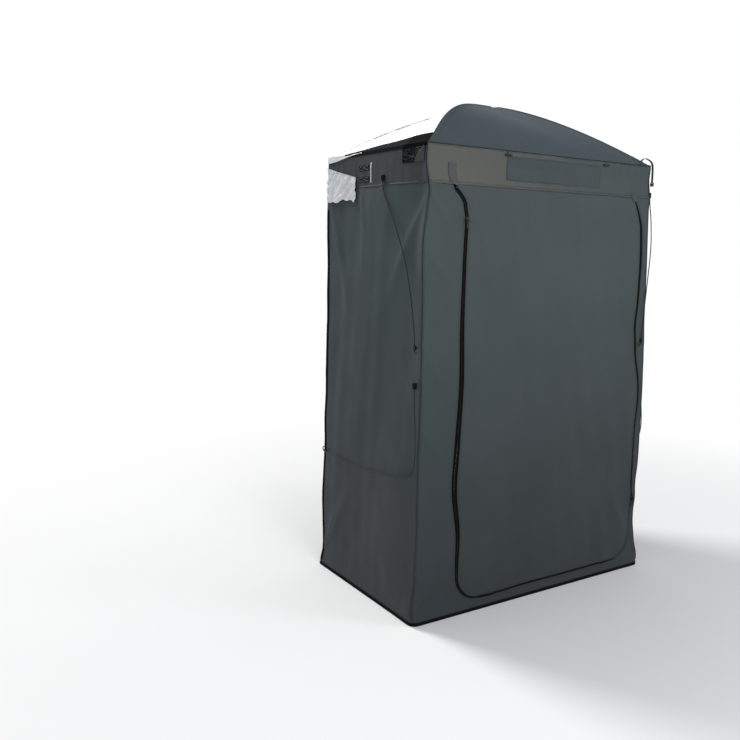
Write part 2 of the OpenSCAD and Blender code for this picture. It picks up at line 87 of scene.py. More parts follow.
def make_camera():
    forward = Vector((math.sin(CAM_YAW) * math.cos(CAM_PITCH), math.cos(CAM_YAW) * math.cos(CAM_PITCH),
                      -math.sin(CAM_PITCH)))
    right = Vector((math.cos(CAM_YAW), -math.sin(CAM_YAW), 0))
    up = right.cross(forward)
    c, s = math.cos(CAM_ROLL), math.sin(CAM_ROLL)
    across, over = c * right + s * up, c * up - s * right
    data = bpy.data.cameras.new("camera")
    data.sensor_width = 36
    data.lens = CAM_FOCAL_PX / IMAGE_PX * data.sensor_width
    data.shift_x = -(CAM_CENTRE_PX[0] - IMAGE_PX / 2) / IMAGE_PX
    data.shift_y = -(IMAGE_PX / 2 - CAM_CENTRE_PX[1]) / IMAGE_PX
    data.clip_end = 400
    camera = bpy.data.objects.new("camera", data)
    bpy.context.scene.collection.objects.link(camera)
    turn = Matrix((across, over, -forward)).transposed()
    camera.matrix_world = Matrix.Translation(CAM_AT) @ turn.to_4x4()
    bpy.context.scene.camera = camera


make_camera()

# ---------------------------------------------------------------- small tools


def linked(mesh, name):
    obj = bpy.data.objects.new(name, mesh)
    bpy.context.scene.collection.objects.link(obj)
    return obj


def mesh_from(name, points, faces, smooth=True):
    mesh = bpy.data.meshes.new(name)
    mesh.from_pydata([tuple(p) for p in points], [], [tuple(f) for f in faces])
    mesh.validate()
    mesh.polygons.foreach_set("use_smooth", [smooth] * len(mesh.polygons))
    mesh.update()
    return mesh


def settle(obj, material, slot, body, *nodes):
    """Gives a finished piece its material, rides it on its body and lets it stand for CAD nodes."""
    obj.data.materials.clear()
    obj.data.materials.append(material)
    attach(obj, body)
    if nodes:
        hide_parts(*nodes)
    return obj


def applied(obj):
    """The object with its modifiers made real."""
    bpy.context.view_layer.update()
    graph = bpy.context.evaluated_depsgraph_get()
    mesh = bpy.data.meshes.new_from_object(obj.evaluated_get(graph))
    obj.modifiers.clear()
    obj.data = mesh
    return obj


def spline(knots, at):
    """Smooth curve through knots [(t, value), ...] at the numbers in at."""
    t = np.array([k[0] for k in knots], float)
    v = np.array([k[1:] for k in knots], float)
    at = np.clip(np.asarray(at, float), t[0], t[-1])
    slope = np.gradient(v, t, axis=0)
    i = np.clip(np.searchsorted(t, at, side="right") - 1, 0, len(t) - 2)
    h = (t[i + 1] - t[i])[..., None]
    x = ((at - t[i]) / (t[i + 1] - t[i]))[..., None]
    value = ((2 * x**3 - 3 * x**2 + 1) * v[i] + (x**3 - 2 * x**2 + x) * h * slope[i]
             + (3 * x**2 - 2 * x**3) * v[i + 1] + (x**3 - x**2) * h * slope[i + 1])
    return value[..., 0] if value.shape[-1] == 1 else value


def field(p, size, seed, stretch=(1, 1, 1), waves=14):
    """A smooth random field over points, about -1 to 1, with bumps of the given size in metres."""
    rng = np.random.default_rng(seed)
    k = rng.normal(size=(waves, 3))
    k /= np.linalg.norm(k, axis=1)[:, None]
    k *= (2 * math.pi / size) * rng.uniform(0.6, 1.5, waves)[:, None]
    phase = rng.uniform(0, 2 * math.pi, waves)
    q = np.asarray(p, float) / np.array(stretch, float)
    return np.sin(q @ k.T + phase).sum(axis=-1) / math.sqrt(waves / 1.2)


def ridges(p, size, seed, stretch=(1, 1, 1)):
    """Sharp-edged crumples: 1 on a ridge, falling to about -1 between ridges."""
    return 1 - 2 * np.minimum(1, np.abs(field(p, size, seed, stretch)))


def bell(x):
    return np.exp(-(x**2))


def step(a, b, x):
    t = np.clip((x - a) / (b - a), 0, 1)
    return t * t * (3 - 2 * t)


def crease(u, v, a, b, width):
    """A soft fold along the line from a to b in a wall's own (u, v) plane, strongest at a."""
    a, b = np.array(a, float), np.array(b, float)
    d = b - a
    length = np.linalg.norm(d)
    d /= length
    along = ((u - a[0]) * d[0] + (v - a[1]) * d[1]) / length
    off = (u - a[0]) * -d[1] + (v - a[1]) * d[0]
    spread = width * (0.5 + np.clip(along, 0, 1))
    return bell(off / spread) * step(-0.05, 0.08, along) * (1 - step(0.45, 1.0, along))


def normals_of(grid):
    """Unit normals of a grid of points, from its rows and columns."""
    du, dv = np.gradient(grid, axis=0), np.gradient(grid, axis=1)
    n = np.cross(du, dv)
    return n / np.maximum(np.linalg.norm(n, axis=2), 1e-12)[..., None]


def cloth_sheet(name, grid, outward, thick=CLOTH, skip=None):
    """A closed, thin shell from a grid of points; outward is a rough direction to its outer side."""
    rows, cols = grid.shape[:2]
    if (normals_of(grid).mean(axis=(0, 1)) @ np.array(outward, float)) < 0:
        grid = grid[:, ::-1]
        skip = None if skip is None else skip[:, ::-1]
    faces = [(i * cols + j, (i + 1) * cols + j, (i + 1) * cols + j + 1, i * cols + j + 1)
             for i in range(rows - 1) for j in range(cols - 1) if skip is None or not skip[i, j]]
    mesh = mesh_from(name, grid.reshape(-1, 3), faces)
    obj = linked(mesh, name)
    work = bmesh.new()
    work.from_mesh(mesh)
    bmesh.ops.remove_doubles(work, verts=work.verts, dist=1e-6)
    bmesh.ops.delete(work, geom=[v for v in work.verts if not v.link_faces], context="VERTS")
    work.to_mesh(mesh)
    work.free()
    solid = obj.modifiers.new("thickness", "SOLIDIFY")
    solid.thickness = thick
    solid.offset = -1
    applied(obj)
    obj.data.set_sharp_from_angle(angle=math.radians(50))
    return obj


def tube(name, points, radius, sides=10, ends=True):
    """A round tube with a ring at each point; radius is one number or one for each point."""
    points = np.asarray(points, float)
    n = len(points)
    radius = np.broadcast_to(np.asarray(radius, float), (n,))
    tangent = np.gradient(points, axis=0)
    tangent /= np.maximum(np.linalg.norm(tangent, axis=1), 1e-12)[:, None]
    guess = np.eye(3)[int(np.argmin(np.abs(tangent).mean(axis=0)))]
    rings = []
    u = guess - tangent[0] * (guess @ tangent[0])
    for i in range(n):
        u = u - tangent[i] * (u @ tangent[i])
        u /= np.linalg.norm(u)
        v = np.cross(tangent[i], u)
        w = 2 * math.pi * np.arange(sides) / sides
        rings.append(points[i] + radius[i] * (np.cos(w)[:, None] * u + np.sin(w)[:, None] * v))
    faces = [(i * sides + k, i * sides + (k + 1) % sides, (i + 1) * sides + (k + 1) % sides,
              (i + 1) * sides + k)
             for i in range(n - 1) for k in range(sides)]
    if ends:
        faces += [tuple(range(sides))[::-1], tuple((n - 1) * sides + k for k in range(sides))]
    return linked(mesh_from(name, np.concatenate(rings), faces), name)


def ribbon(name, points, across, width, thick, crown=0.0, cols=3):
    """A flat tape along points; across is its width direction at each point, thick how proud it lies."""
    points, across = np.asarray(points, float), np.asarray(across, float)
    across = across / np.linalg.norm(across, axis=1)[:, None]
    tangent = np.gradient(points, axis=0)
    up = np.cross(tangent, across)
    up /= np.linalg.norm(up, axis=1)[:, None]
    t = np.linspace(-1, 1, cols)
    top = [points + across * (width / 2 * k) + up * (thick + crown * (1 - k * k)) for k in t]
    low = [points + across * (width / 2 * k) for k in t]
    ring = np.array(top + low[::-1])
    n, m = len(points), 2 * cols
    flat = ring.transpose(1, 0, 2).reshape(-1, 3)
    faces = [(i * m + k, i * m + (k + 1) % m, (i + 1) * m + (k + 1) % m, (i + 1) * m + k)
             for i in range(n - 1) for k in range(m)]
    faces += [tuple(range(m))[::-1], tuple((n - 1) * m + k for k in range(m))]
    return linked(mesh_from(name, flat, faces), name)


def run_of(line):
    """Distance run along a polyline at each of its points."""
    return np.concatenate([[0], np.cumsum(np.linalg.norm(np.diff(line, axis=0), axis=1))])


def points_at(line, run, at):
    """Points of a polyline, or directions kept along it, at the distances at."""
    return np.array([np.interp(at, run, line[:, k]) for k in range(3)]).T


def walk(points, pitch):
    """Points at a steady pitch along a polyline."""
    run = run_of(points)
    return points_at(points, run, np.arange(0, run[-1], pitch))


def merged(name, objs):
    """One object from several."""
    points, faces, smooth, base = [], [], [], 0
    for o in objs:
        points += [v.co[:] for v in o.data.vertices]
        faces += [tuple(base + k for k in p.vertices) for p in o.data.polygons]
        smooth += [p.use_smooth for p in o.data.polygons]
        base += len(o.data.vertices)
        bpy.data.objects.remove(o)
    mesh = mesh_from(name, points, faces)
    mesh.polygons.foreach_set("use_smooth", smooth)
    return linked(mesh, name)


def stitches(name, lines, lift, pitch=0.0062, length=0.0040, width=0.0011, height=0.0007):
    """Rows of small stitches: lines are (points, outward directions), lift is their seat above the line."""
    points, faces = [], []
    for line, out in lines:
        line = np.asarray(line, float)
        run = run_of(line)
        at = np.arange(pitch / 2, run[-1] - pitch / 2, pitch)
        out = np.broadcast_to(np.asarray(out, float), line.shape)
        mid = points_at(line, run, at)
        ahead = points_at(line, run, at + 1e-3) - mid
        up = points_at(out, run, at)
        for p, a, n in zip(mid, ahead, up):
            if np.linalg.norm(a) < 1e-9:
                continue
            a, n = a / np.linalg.norm(a), n / np.linalg.norm(n)
            s = np.cross(a, n)
            p = p + n * lift
            base = len(points)
            back, front = p - a * length * 0.25, p + a * length * 0.25
            points += [p - a * length / 2, back + s * width / 2, back - s * width / 2, back + n * height,
                       front + s * width / 2, front - s * width / 2, front + n * height, p + a * length / 2]
            faces += [(base + i, base + j, base + k) for i, j, k in
                      ((0, 1, 3), (0, 3, 2), (0, 2, 1), (7, 6, 4), (7, 5, 6), (7, 4, 5))]
            faces += [(base + 1, base + 4, base + 6, base + 3), (base + 3, base + 6, base + 5, base + 2),
                      (base + 2, base + 5, base + 4, base + 1)]
    return linked(mesh_from(name, points, faces, smooth=False), name)


# ---------------------------------------------------------------- materials


def preset(node, inputs):
    for key, value in inputs.items():
        node.inputs[key].default_value = value
    return node


def add(tree, kind, inputs=None, **settings):
    node = tree.nodes.new(kind)
    for key, value in settings.items():
        setattr(node, key, value)
    return preset(node, inputs or {})


def nodes_of(name):
    """A new material with its tree, its shader and the piece's own coordinates."""
    material = bpy.data.materials.new(name)
    material.use_nodes = True
    tree = material.node_tree
    return material, tree, tree.nodes["Principled BSDF"], add(tree, "ShaderNodeTexCoord").outputs["Object"]


def noise_at(tree, coords, scale, detail=3.0, rough=0.5, stretch=(1, 1, 1)):
    mapping = add(tree, "ShaderNodeMapping", {"Scale": [scale * s for s in stretch]})
    tree.links.new(coords, mapping.inputs["Vector"])
    noise = add(tree, "ShaderNodeTexNoise", {"Scale": 1.0, "Detail": detail, "Roughness": rough})
    tree.links.new(mapping.outputs["Vector"], noise.inputs["Vector"])
    return noise.outputs["Fac"]


def noise_vector(tree, coords, scale):
    noise = add(tree, "ShaderNodeTexNoise", {"Scale": scale, "Detail": 3.0})
    tree.links.new(coords, noise.inputs["Vector"])
    return noise.outputs["Color"]


def ramp_at(tree, fac, stops):
    ramp = add(tree, "ShaderNodeValToRGB")
    elements = ramp.color_ramp.elements
    for i, (position, colour) in enumerate(stops):
        element = elements[i] if i < 2 else elements.new(position)
        element.position = position
        element.color = (*colour, 1)
    tree.links.new(fac, ramp.inputs["Fac"])
    return ramp.outputs["Color"]


def mixed(tree, fac, a, b, blend="MIX", data="RGBA"):
    mix = add(tree, "ShaderNodeMix", data_type=data, blend_type=blend)
    pick = 6 if data == "RGBA" else 2
    for socket, value in ((0, fac), (pick, a), (pick + 1, b)):
        if hasattr(value, "node"):
            tree.links.new(value, mix.inputs[socket])
        else:
            mix.inputs[socket].default_value = (*value, 1) if isinstance(value, tuple) else value
    return mix.outputs[2 if data == "RGBA" else 0]


def maths(tree, operation, a, b=0.0):
    node = add(tree, "ShaderNodeMath", operation=operation)
    for socket, value in enumerate((a, b)):
        if hasattr(value, "node"):
            tree.links.new(value, node.inputs[socket])
        else:
            node.inputs[socket].default_value = value
    return node.outputs[0]


def weave(tree, coords, pitch):
    """Height of a plain weave: two thread directions, each a fine wave."""
    split = add(tree, "ShaderNodeSeparateXYZ")
    tree.links.new(coords, split.inputs[0])
    across = maths(tree, "ADD", split.outputs[0], split.outputs[1])
    turns = 2 * math.pi / pitch
    a = maths(tree, "SINE", maths(tree, "MULTIPLY", across, turns))
    b = maths(tree, "SINE", maths(tree, "MULTIPLY", split.outputs[2], turns))
    return maths(tree, "MULTIPLY", a, b)


def bumped(tree, shader, heights):
    """Chains bumps: heights is (height socket, strength, distance)."""
    last = None
    for height, strength, distance in heights:
        bump = add(tree, "ShaderNodeBump", {"Strength": strength, "Distance": distance})
        tree.links.new(height, bump.inputs["Height"])
        if last:
            tree.links.new(last, bump.inputs["Normal"])
        last = bump.outputs["Normal"]
    tree.links.new(last, shader.inputs["Normal"])


def rough_between(tree, shader, fac, low, high):
    """Roughness that runs from low to high with fac."""
    spread = add(tree, "ShaderNodeMapRange", {"To Min": low, "To Max": high})
    tree.links.new(fac, spread.inputs[0])
    tree.links.new(spread.outputs[0], shader.inputs["Roughness"])


def coated_cloth(name, colour, low=None, right=None, rough=(0.55, 0.72), crinkle=0.35,
                 sheen=0.03, shine=0.16):
    """Coated polyester: fine weave, creasing and a slightly uneven tone.

    low and right are painted shade: the cloth's darker colours at the ground and at the tent's right side.
    """
    material, tree, shader, coords = nodes_of(name)
    broad = noise_at(tree, coords, 2.2, 3, 0.55)
    fine = noise_at(tree, coords, 38, 4, 0.6)
    dark = tuple(c * 0.90 for c in colour)
    light = tuple(min(1, c * 1.10) for c in colour)
    tone = ramp_at(tree, broad, [(0.30, dark), (0.72, light)])
    tone = mixed(tree, 0.20, tone, ramp_at(tree, fine, [(0.3, dark), (0.7, light)]))
    split = add(tree, "ShaderNodeSeparateXYZ")
    tree.links.new(coords, split.inputs[0])
    # painted shade: the colour darkens towards the ground with low and towards the tent's right with right
    for other, axis, start, end in ((low, 2, 1.7, 0.0), (right, 0, -0.6, 0.6)):
        if other:
            reach = add(tree, "ShaderNodeMapRange", {"From Min": start, "From Max": end},
                        interpolation_type="SMOOTHSTEP")
            tree.links.new(split.outputs[axis], reach.inputs[0])
            share = tuple(o / c for o, c in zip(other, colour))
            shade = ramp_at(tree, reach.outputs[0], [(0.0, (1, 1, 1)), (1.0, share)])
            tone = mixed(tree, 1.0, tone, shade, "MULTIPLY")
    tree.links.new(tone, shader.inputs["Base Color"])
    rough_between(tree, shader, fine, *rough)
    preset(shader, {"Sheen Weight": sheen, "Sheen Roughness": 0.45, "Specular IOR Level": shine})
    bumped(tree, shader, [(weave(tree, coords, 0.0011), 0.25, 0.00012),
                          (noise_at(tree, coords, 14, 5, 0.62), crinkle, 0.004),
                          (noise_at(tree, coords, 60, 3, 0.55), crinkle * 0.5, 0.0009)])
    return material


def silver_cloth(name):
    """Silver-coated cloth: soft metallic coat, crumpled, with its creases darkened by painted shade."""
    material, tree, shader, coords = nodes_of(name)
    broad = noise_at(tree, coords, 5, 4, 0.6)
    tone = ramp_at(tree, broad, [(0.25, (0.70, 0.71, 0.72)), (0.75, (0.86, 0.865, 0.87))])
    cells = add(tree, "ShaderNodeTexVoronoi", {"Scale": 26.0}, feature="DISTANCE_TO_EDGE")
    warp = add(tree, "ShaderNodeMapping")
    tree.links.new(coords, warp.inputs["Vector"])
    tree.links.new(mixed(tree, 0.12, warp.outputs["Vector"], noise_vector(tree, coords, 9)),
                   cells.inputs["Vector"])
    # painted shade: darker along the cell edges, which are the crumples' creases
    crease_shade = ramp_at(tree, cells.outputs["Distance"], [(0.0, (0.62, 0.63, 0.64)), (0.035, (1, 1, 1))])
    tone = mixed(tree, 0.5, tone, mixed(tree, 1.0, tone, crease_shade, "MULTIPLY"))
    tree.links.new(tone, shader.inputs["Base Color"])
    preset(shader, {"Metallic": 0.22})
    rough_between(tree, shader, broad, 0.32, 0.52)
    bumped(tree, shader, [(weave(tree, coords, 0.0011), 0.2, 0.0001),
                          (cells.outputs["Distance"], 0.35, 0.010),
                          (noise_at(tree, coords, 22, 5, 0.65), 0.45, 0.006)])
    return material


def webbing(name, colour, pitch=0.0016, rough=0.8, shine=0.08):
    """Woven tape: ribs across it and worn, paler threads on top."""
    material, tree, shader, coords = nodes_of(name)
    rib = weave(tree, coords, pitch)
    worn = noise_at(tree, coords, 30, 4, 0.6)
    tone = ramp_at(tree, worn, [(0.35, tuple(c * 0.8 for c in colour)),
                                (0.75, tuple(min(1, c * 1.35) for c in colour))])
    tree.links.new(tone, shader.inputs["Base Color"])
    preset(shader, {"Roughness": rough, "Specular IOR Level": shine})
    bumped(tree, shader, [(rib, 0.5, 0.0004), (worn, 0.2, 0.001)])
    return material


def plastic(name, colour, rough=0.42, grain=900.0, metallic=0.0, shine=0.3):
    """Moulded or lacquered piece: fine grain, with paler rubbed spots."""
    material, tree, shader, coords = nodes_of(name)
    wear = noise_at(tree, coords, 90, 5, 0.65)
    tone = ramp_at(tree, wear, [(0.45, colour), (0.85, tuple(min(1, c * 1.8 + 0.02) for c in colour))])
    tree.links.new(tone, shader.inputs["Base Color"])
    rough_between(tree, shader, wear, rough - 0.08, rough + 0.16)
    preset(shader, {"Metallic": metallic, "Specular IOR Level": shine})
    bumped(tree, shader, [(noise_at(tree, coords, grain, 2, 0.5), 0.18, 0.0003)])
    return material


def braid(name, colour):
    """Braided cord cover: crossing diagonal strands."""
    material, tree, shader, coords = nodes_of(name)
    waves = []
    for turn in ((1, 1, 1), (1, -1, 1)):
        turned = add(tree, "ShaderNodeMapping", {"Scale": turn})
        wave = add(tree, "ShaderNodeTexWave", {"Scale": 260.0, "Distortion": 0.4}, wave_type="BANDS",
                   bands_direction="DIAGONAL")
        tree.links.new(coords, turned.inputs["Vector"])
        tree.links.new(turned.outputs["Vector"], wave.inputs["Vector"])
        waves.append(wave.outputs["Fac"])
    strands = maths(tree, "MULTIPLY", *waves)
    tone = ramp_at(tree, strands, [(0.0, tuple(c * 0.6 for c in colour)),
                                   (0.8, tuple(c * 1.7 for c in colour))])
    tree.links.new(tone, shader.inputs["Base Color"])
    preset(shader, {"Roughness": 0.7})
    bumped(tree, shader, [(strands, 0.6, 0.0006)])
    return material


# Linear colours of the cloth; the colours at the ground, at the band's right and of the side bands are
# painted shade, darker than the cloth itself
WALL = (0.054, 0.069, 0.069)
# painted shade: the wall's cloth darker towards the ground
WALL_LOW_SHADE = (0.034, 0.041, 0.046)
DOOR = (0.058, 0.071, 0.075)
# painted shade: the door's cloth darker towards the ground
DOOR_LOW_SHADE = (0.0355, 0.042, 0.0455)
BAND = (0.096, 0.100, 0.090)
# painted shade: the band's cloth darker towards the tent's right
BAND_RIGHT_SHADE = (0.056, 0.070, 0.072)
# painted shade: the band's cloth made darker for the faces turned from the light
SIDE_BAND_SHADE = (0.049, 0.055, 0.060)
ROOF_GREY = (0.057, 0.075, 0.085)

M = {
    "wall_cloth": coated_cloth("wall_cloth", WALL, WALL_LOW_SHADE),
    "door_cloth": coated_cloth("door_cloth", DOOR, DOOR_LOW_SHADE),
    "band_cloth": coated_cloth("band_cloth", BAND, right=BAND_RIGHT_SHADE, crinkle=0.4),
    # the side band's cloth is the band's cloth darkened as painted shade
    "shaded_band_cloth": coated_cloth("shaded_band_cloth", SIDE_BAND_SHADE, crinkle=0.45),
    "patch_cloth": coated_cloth("patch_cloth", (0.052, 0.066, 0.070), crinkle=0.2),
    "garage_cloth": coated_cloth("garage_cloth", (0.072, 0.080, 0.078), crinkle=0.3),
    "roof_grey_cloth": coated_cloth("roof_grey_cloth", ROOF_GREY, crinkle=0.25),
    "silver_cloth": silver_cloth("silver_cloth"),
    "zip_tape": webbing("zip_tape", (0.0045, 0.0048, 0.005), 0.0012, shine=0.03),
    "zip_coil": plastic("zip_coil", (0.005, 0.005, 0.0055), 0.45, shine=0.12),
    "hem_binding": webbing("hem_binding", (0.0055, 0.0058, 0.006), 0.0018, shine=0.04),
    "seam_tape": webbing("seam_tape", (0.030, 0.036, 0.038), 0.0016),
    "thread_dark": webbing("thread_dark", (0.022, 0.026, 0.028), 0.0009),
    "thread_pale": webbing("thread_pale", (0.45, 0.46, 0.46), 0.0009),
    "black_webbing": webbing("black_webbing", (0.0065, 0.0065, 0.007)),
    "pale_webbing": webbing("pale_webbing", (0.62, 0.63, 0.60)),
    "grey_webbing": webbing("grey_webbing", (0.050, 0.052, 0.052)),
    "shock_cord": braid("shock_cord", (0.009, 0.009, 0.010)),
    "hook_plastic": plastic("hook_plastic", (0.010, 0.010, 0.011), 0.3),
    "moulded_black": plastic("moulded_black", (0.016, 0.016, 0.018), 0.5),
    "slider_metal": plastic("slider_metal", (0.020, 0.020, 0.022), 0.32, metallic=0.5),
    "ferrule_metal": plastic("ferrule_metal", (0.55, 0.56, 0.57), 0.28, 300.0, 1.0),
    "fibreglass_pole": plastic("fibreglass_pole", (0.020, 0.020, 0.023), 0.25, 400.0),
    "vent_mesh": webbing("vent_mesh", (0.0045, 0.0045, 0.0045), 0.001, shine=0.02),
    # painted shade: the eave cap's cloth made darker to stand for the shade it lies in
    "shaded_cap_cloth": coated_cloth("shaded_cap_cloth", (0.014, 0.017, 0.018), rough=(0.8, 0.9), crinkle=0.4,
                              sheen=0, shine=0.02),
}


def sew(name, lines, lift, thread, slot, body="tent", **sizes):
    """Rows of stitches in one thread, riding on a body."""
    return settle(stitches(name, lines, lift, **sizes), M[thread], slot, body)


# ---------------------------------------------------------------- how the cloth hangs

# Half width of the tent at its vertical corners, by height: the cloth dips between its seams
EDGE = {
    -1: [(0, .702), (.05, .706), (.15, .690), (.3, .682), (.6, .681), (1.4, .674), (1.70, .671),
         (1.756, .662),
         (1.883, .650), (1.96, .664), (2.05, .669)],
    1: [(0, .706), (.05, .709), (.13, .682), (.22, .664), (.30, .662), (.38, .664), (.46, .668), (.53, .676),
        (.70, .680), (1.0, .679), (1.65, .676), (1.9, .673), (2.05, .670)],
}
REAR_EDGE = [(0, .437), (.018, .438), (.104, .420), (.232, .431), (.386, .439), (.7, .436), (1.2, .433),
             (2.05, .435)]
# Soft folds on the door side: start, end, width, height
FRONT_FOLDS = [
    ((-.655, 1.87), (-.50, 1.66), .020, .006), ((-.665, 1.62), (-.47, 1.40), .026, .007),
    ((-.67, 1.20), (-.49, .94), .030, .007), ((-.68, .86), (-.48, .62), .024, .006),
    ((-.69, .06), (-.50, .34), .030, .008), ((-.45, 1.86), (-.28, 1.42), .030, .005),
    ((-.44, .18), (-.12, .62), .034, .006), ((.60, .20), (.30, .70), .040, .006),
    ((.57, 1.86), (.42, 1.30), .034, .006), ((.62, 1.05), (.34, .80), .030, .005),
    ((-.20, 1.88), (-.14, 1.30), .036, .004), ((.25, 1.88), (.18, 1.25), .040, .004),
    ((.69, .05), (.63, .30), .016, .006), ((-.30, .07), (.22, .30), .034, .005),
]
# Soft folds on the side walls, as on the door side
SIDE_FOLDS = {
    -1: [((-.42, 1.86), (-.10, 1.30), .030, .008), ((.40, 1.84), (.16, 1.20), .030, .007),
         ((-.42, .08), (-.12, .44), .030, .008), ((.42, .10), (.10, .52), .034, .008),
         ((.10, 1.88), (.02, 1.4), .03, .006)],
    1: [((-.42, 1.84), (-.14, 1.22), .032, .008), ((.41, 1.86), (.12, 1.36), .030, .007),
        ((-.41, .06), (-.16, .50), .032, .008), ((.42, .12), (.14, .48), .032, .007),
        ((.02, 1.88), (-.06, 1.3), .03, .006)],
}
# Spots where the door side stays in its plane: under sliders, pullers and tabs
STILL = [(-DOOR_LEFT, 1.742), (DOOR_RIGHT + .006, .369), (-.690, 1.02), (.690, 1.02), (.651, 1.18),
         (.684, 1.90)]


def half_w(z):
    return BASE_W / 2 - (BASE_W - TOP_W) / 2 * z / EAVE_Z


def front_in(x, z):
    """How far the cloth of the door side lies back from its plane."""
    x, z = np.broadcast_arrays(np.asarray(x, float), np.asarray(z, float))
    p = np.stack([x, np.zeros_like(x), z], -1)
    held = step(0.0, 0.10, z) * (1 - step(1.97, 2.048, z))
    depth = 0.0065 + 0.0050 * field(p, 0.50, 11, (1, 1, 3.0)) + 0.0016 * field(p, 0.15, 12, (1, 1, 2.2))
    for a, b, width, height in FRONT_FOLDS:
        depth = depth - height * crease(x, z, a, b, width)
    depth = depth * held
    # the belly of the hanging door
    depth = depth - 0.010 * bell((x - 0.06) / 0.34) * bell((z - 0.80) / 0.62) * held
    for cx, cz in STILL:
        depth = depth * (1 - bell(np.hypot(x - cx, z - cz) / 0.045))
    return np.maximum(depth, -0.0042 - 0.006 * bell((x - 0.06) / 0.42) * step(0.2, 0.5, z)
                      * (1 - step(1.5, 1.8, z)))


def side_in(side, y, z):
    """How far a side wall lies in from its leaning plane."""
    y, z = np.broadcast_arrays(np.asarray(y, float), np.asarray(z, float))
    p = np.stack([np.full_like(y, float(side)), y, z], -1)
    held = step(0.0, 0.10, z) * (1 - step(1.95, 2.045, z))
    depth = 0.006 + 0.0055 * field(p, 0.42, 21 + side,
                                   (1, 1, 3.4)) + 0.0018 * field(p, 0.13, 31 + side, (1, 1, 2.0))
    for a, b, width, height in SIDE_FOLDS[side]:
        depth = depth - height * crease(y, z, a, b, width)
    depth = np.maximum(depth * held, -0.0015)
    corner = half_w(z) - spline(EDGE[side], z)
    return depth * (1 - bell((y - FRONT_Y) / 0.05)) + corner * bell((y - FRONT_Y) / 0.12)


def corner_turn(z, along_wall):
    """Radius of the rounded corner at height z, and the angle turned at a distance from the corner."""
    radius = spline([(0, .036), (.03, .033), (.08, .019), (.16, .009), (.5, .006), (2.05, .005)], z)
    return radius, math.radians(45) * np.clip(1 - along_wall / radius, 0, 1)


def front_at(x, z, proud=0.0):
    """Points on the door side's outer face, which turns the rounded corners to meet the side walls."""
    x, z = np.broadcast_arrays(np.asarray(x, float), np.asarray(z, float))
    edge = np.where(x < 0, spline(EDGE[-1], z), spline(EDGE[1], z))
    radius, turn = corner_turn(z, np.maximum(edge - np.abs(x), 0))
    across = np.where(turn > 0, edge - radius + radius * np.sin(turn), np.abs(x))
    y = FRONT_Y + front_in(x, z) + radius * (1 - np.cos(turn))
    return np.stack([np.sign(x) * (across + proud * np.sin(turn)), y - proud * np.cos(turn), z], -1)


def side_at(side, y, z, proud=0.0):
    """Points on a side wall's outer face, from the front corner (y is FRONT_Y) to the rear edge."""
    y, z = np.broadcast_arrays(np.asarray(y, float), np.asarray(z, float))
    share = (y - FRONT_Y) / DEPTH
    start = FRONT_Y + front_in(side * spline(EDGE[side], z), z)
    along_wall = start + (spline(REAR_EDGE, z) - start) * share
    radius, turn = corner_turn(z, np.maximum(along_wall - start, 0))
    depth = np.where(turn > 0, start + radius - radius * np.sin(turn), along_wall)
    x = half_w(z) - side_in(side, y, z) - radius * (1 - np.cos(turn))
    return np.stack([side * (x + proud * np.cos(turn)), depth - proud * np.sin(turn), z], -1)


def grid_of(a, b):
    return np.meshgrid(a, b, indexing="ij")


def cloth(name, grid, outward, material, slot, body, nodes, thick=CLOTH,
          skip=None):
    """Makes and settles one sheet of cloth."""
    obj = settle(cloth_sheet(name, grid, outward, thick, skip), M[material], slot, body, *nodes)
    return obj


FINE = 0.0095        # spacing of the cloth's points


def along(a, b, spacing=FINE):
    return np.linspace(a, b, max(3, int(abs(b - a) / spacing) + 1))


# ---------------------------------------------------------------- the zip's line

LEFT_WAVE = [(1, -.055), (.992, -.050), (.978, -.024), (.963, -.005), (.94, .001), (.82, .003), (.66, 0),
             (.545, .006), (.39, -.014), (.27, -.022), (.17, 0)]
RIGHT_WAVE = [(.18, .006), (.35, .008), (.465, .025), (.595, -.012), (.65, -.018), (.713, -.007),
              (.772, -.001), (.835, .004), (.893, .001), (.927, -.004), (.951, -.016), (.979, -.036),
              (.992, -.047), (1, -.050)]


def height_at(share):
    return SILL_Z + (BAND_Z - SILL_Z) * share


def zip_centre():
    """The zip's line round the door in x and z, from the top left round to the top right."""
    left = [(-DOOR_LEFT + w, height_at(s)) for s, w in LEFT_WAVE]
    turn = np.radians(np.linspace(0, 90, 10))
    left += [(-DOOR_LEFT + CORNER_LEFT_R * (1 - math.cos(a)), SILL_Z + CORNER_LEFT_R * (1 - math.sin(a)))
             for a in turn]
    right = [(DOOR_RIGHT + CORNER_RIGHT_R * (math.sin(a) - 1), SILL_Z + CORNER_RIGHT_R * (1 - math.cos(a)))
             for a in turn]
    right += [(DOOR_RIGHT + w, height_at(s)) for s, w in RIGHT_WAVE]
    middle = [(x, SILL_Z) for x in np.linspace(left[-1][0], right[0][0], 8)[1:-1]]
    knots = np.array(left + middle + right)
    run = run_of(knots)
    return spline([(t, *k) for t, k in zip(run, knots)], np.linspace(0, run[-1], int(run[-1] / FINE) + 1))


ZIP = zip_centre()
ZIP_AHEAD = np.gradient(ZIP, axis=0)
ZIP_AHEAD /= np.linalg.norm(ZIP_AHEAD, axis=1)[:, None]
ZIP_IN = np.stack([-ZIP_AHEAD[:, 1], ZIP_AHEAD[:, 0]], -1)      # towards the door's middle


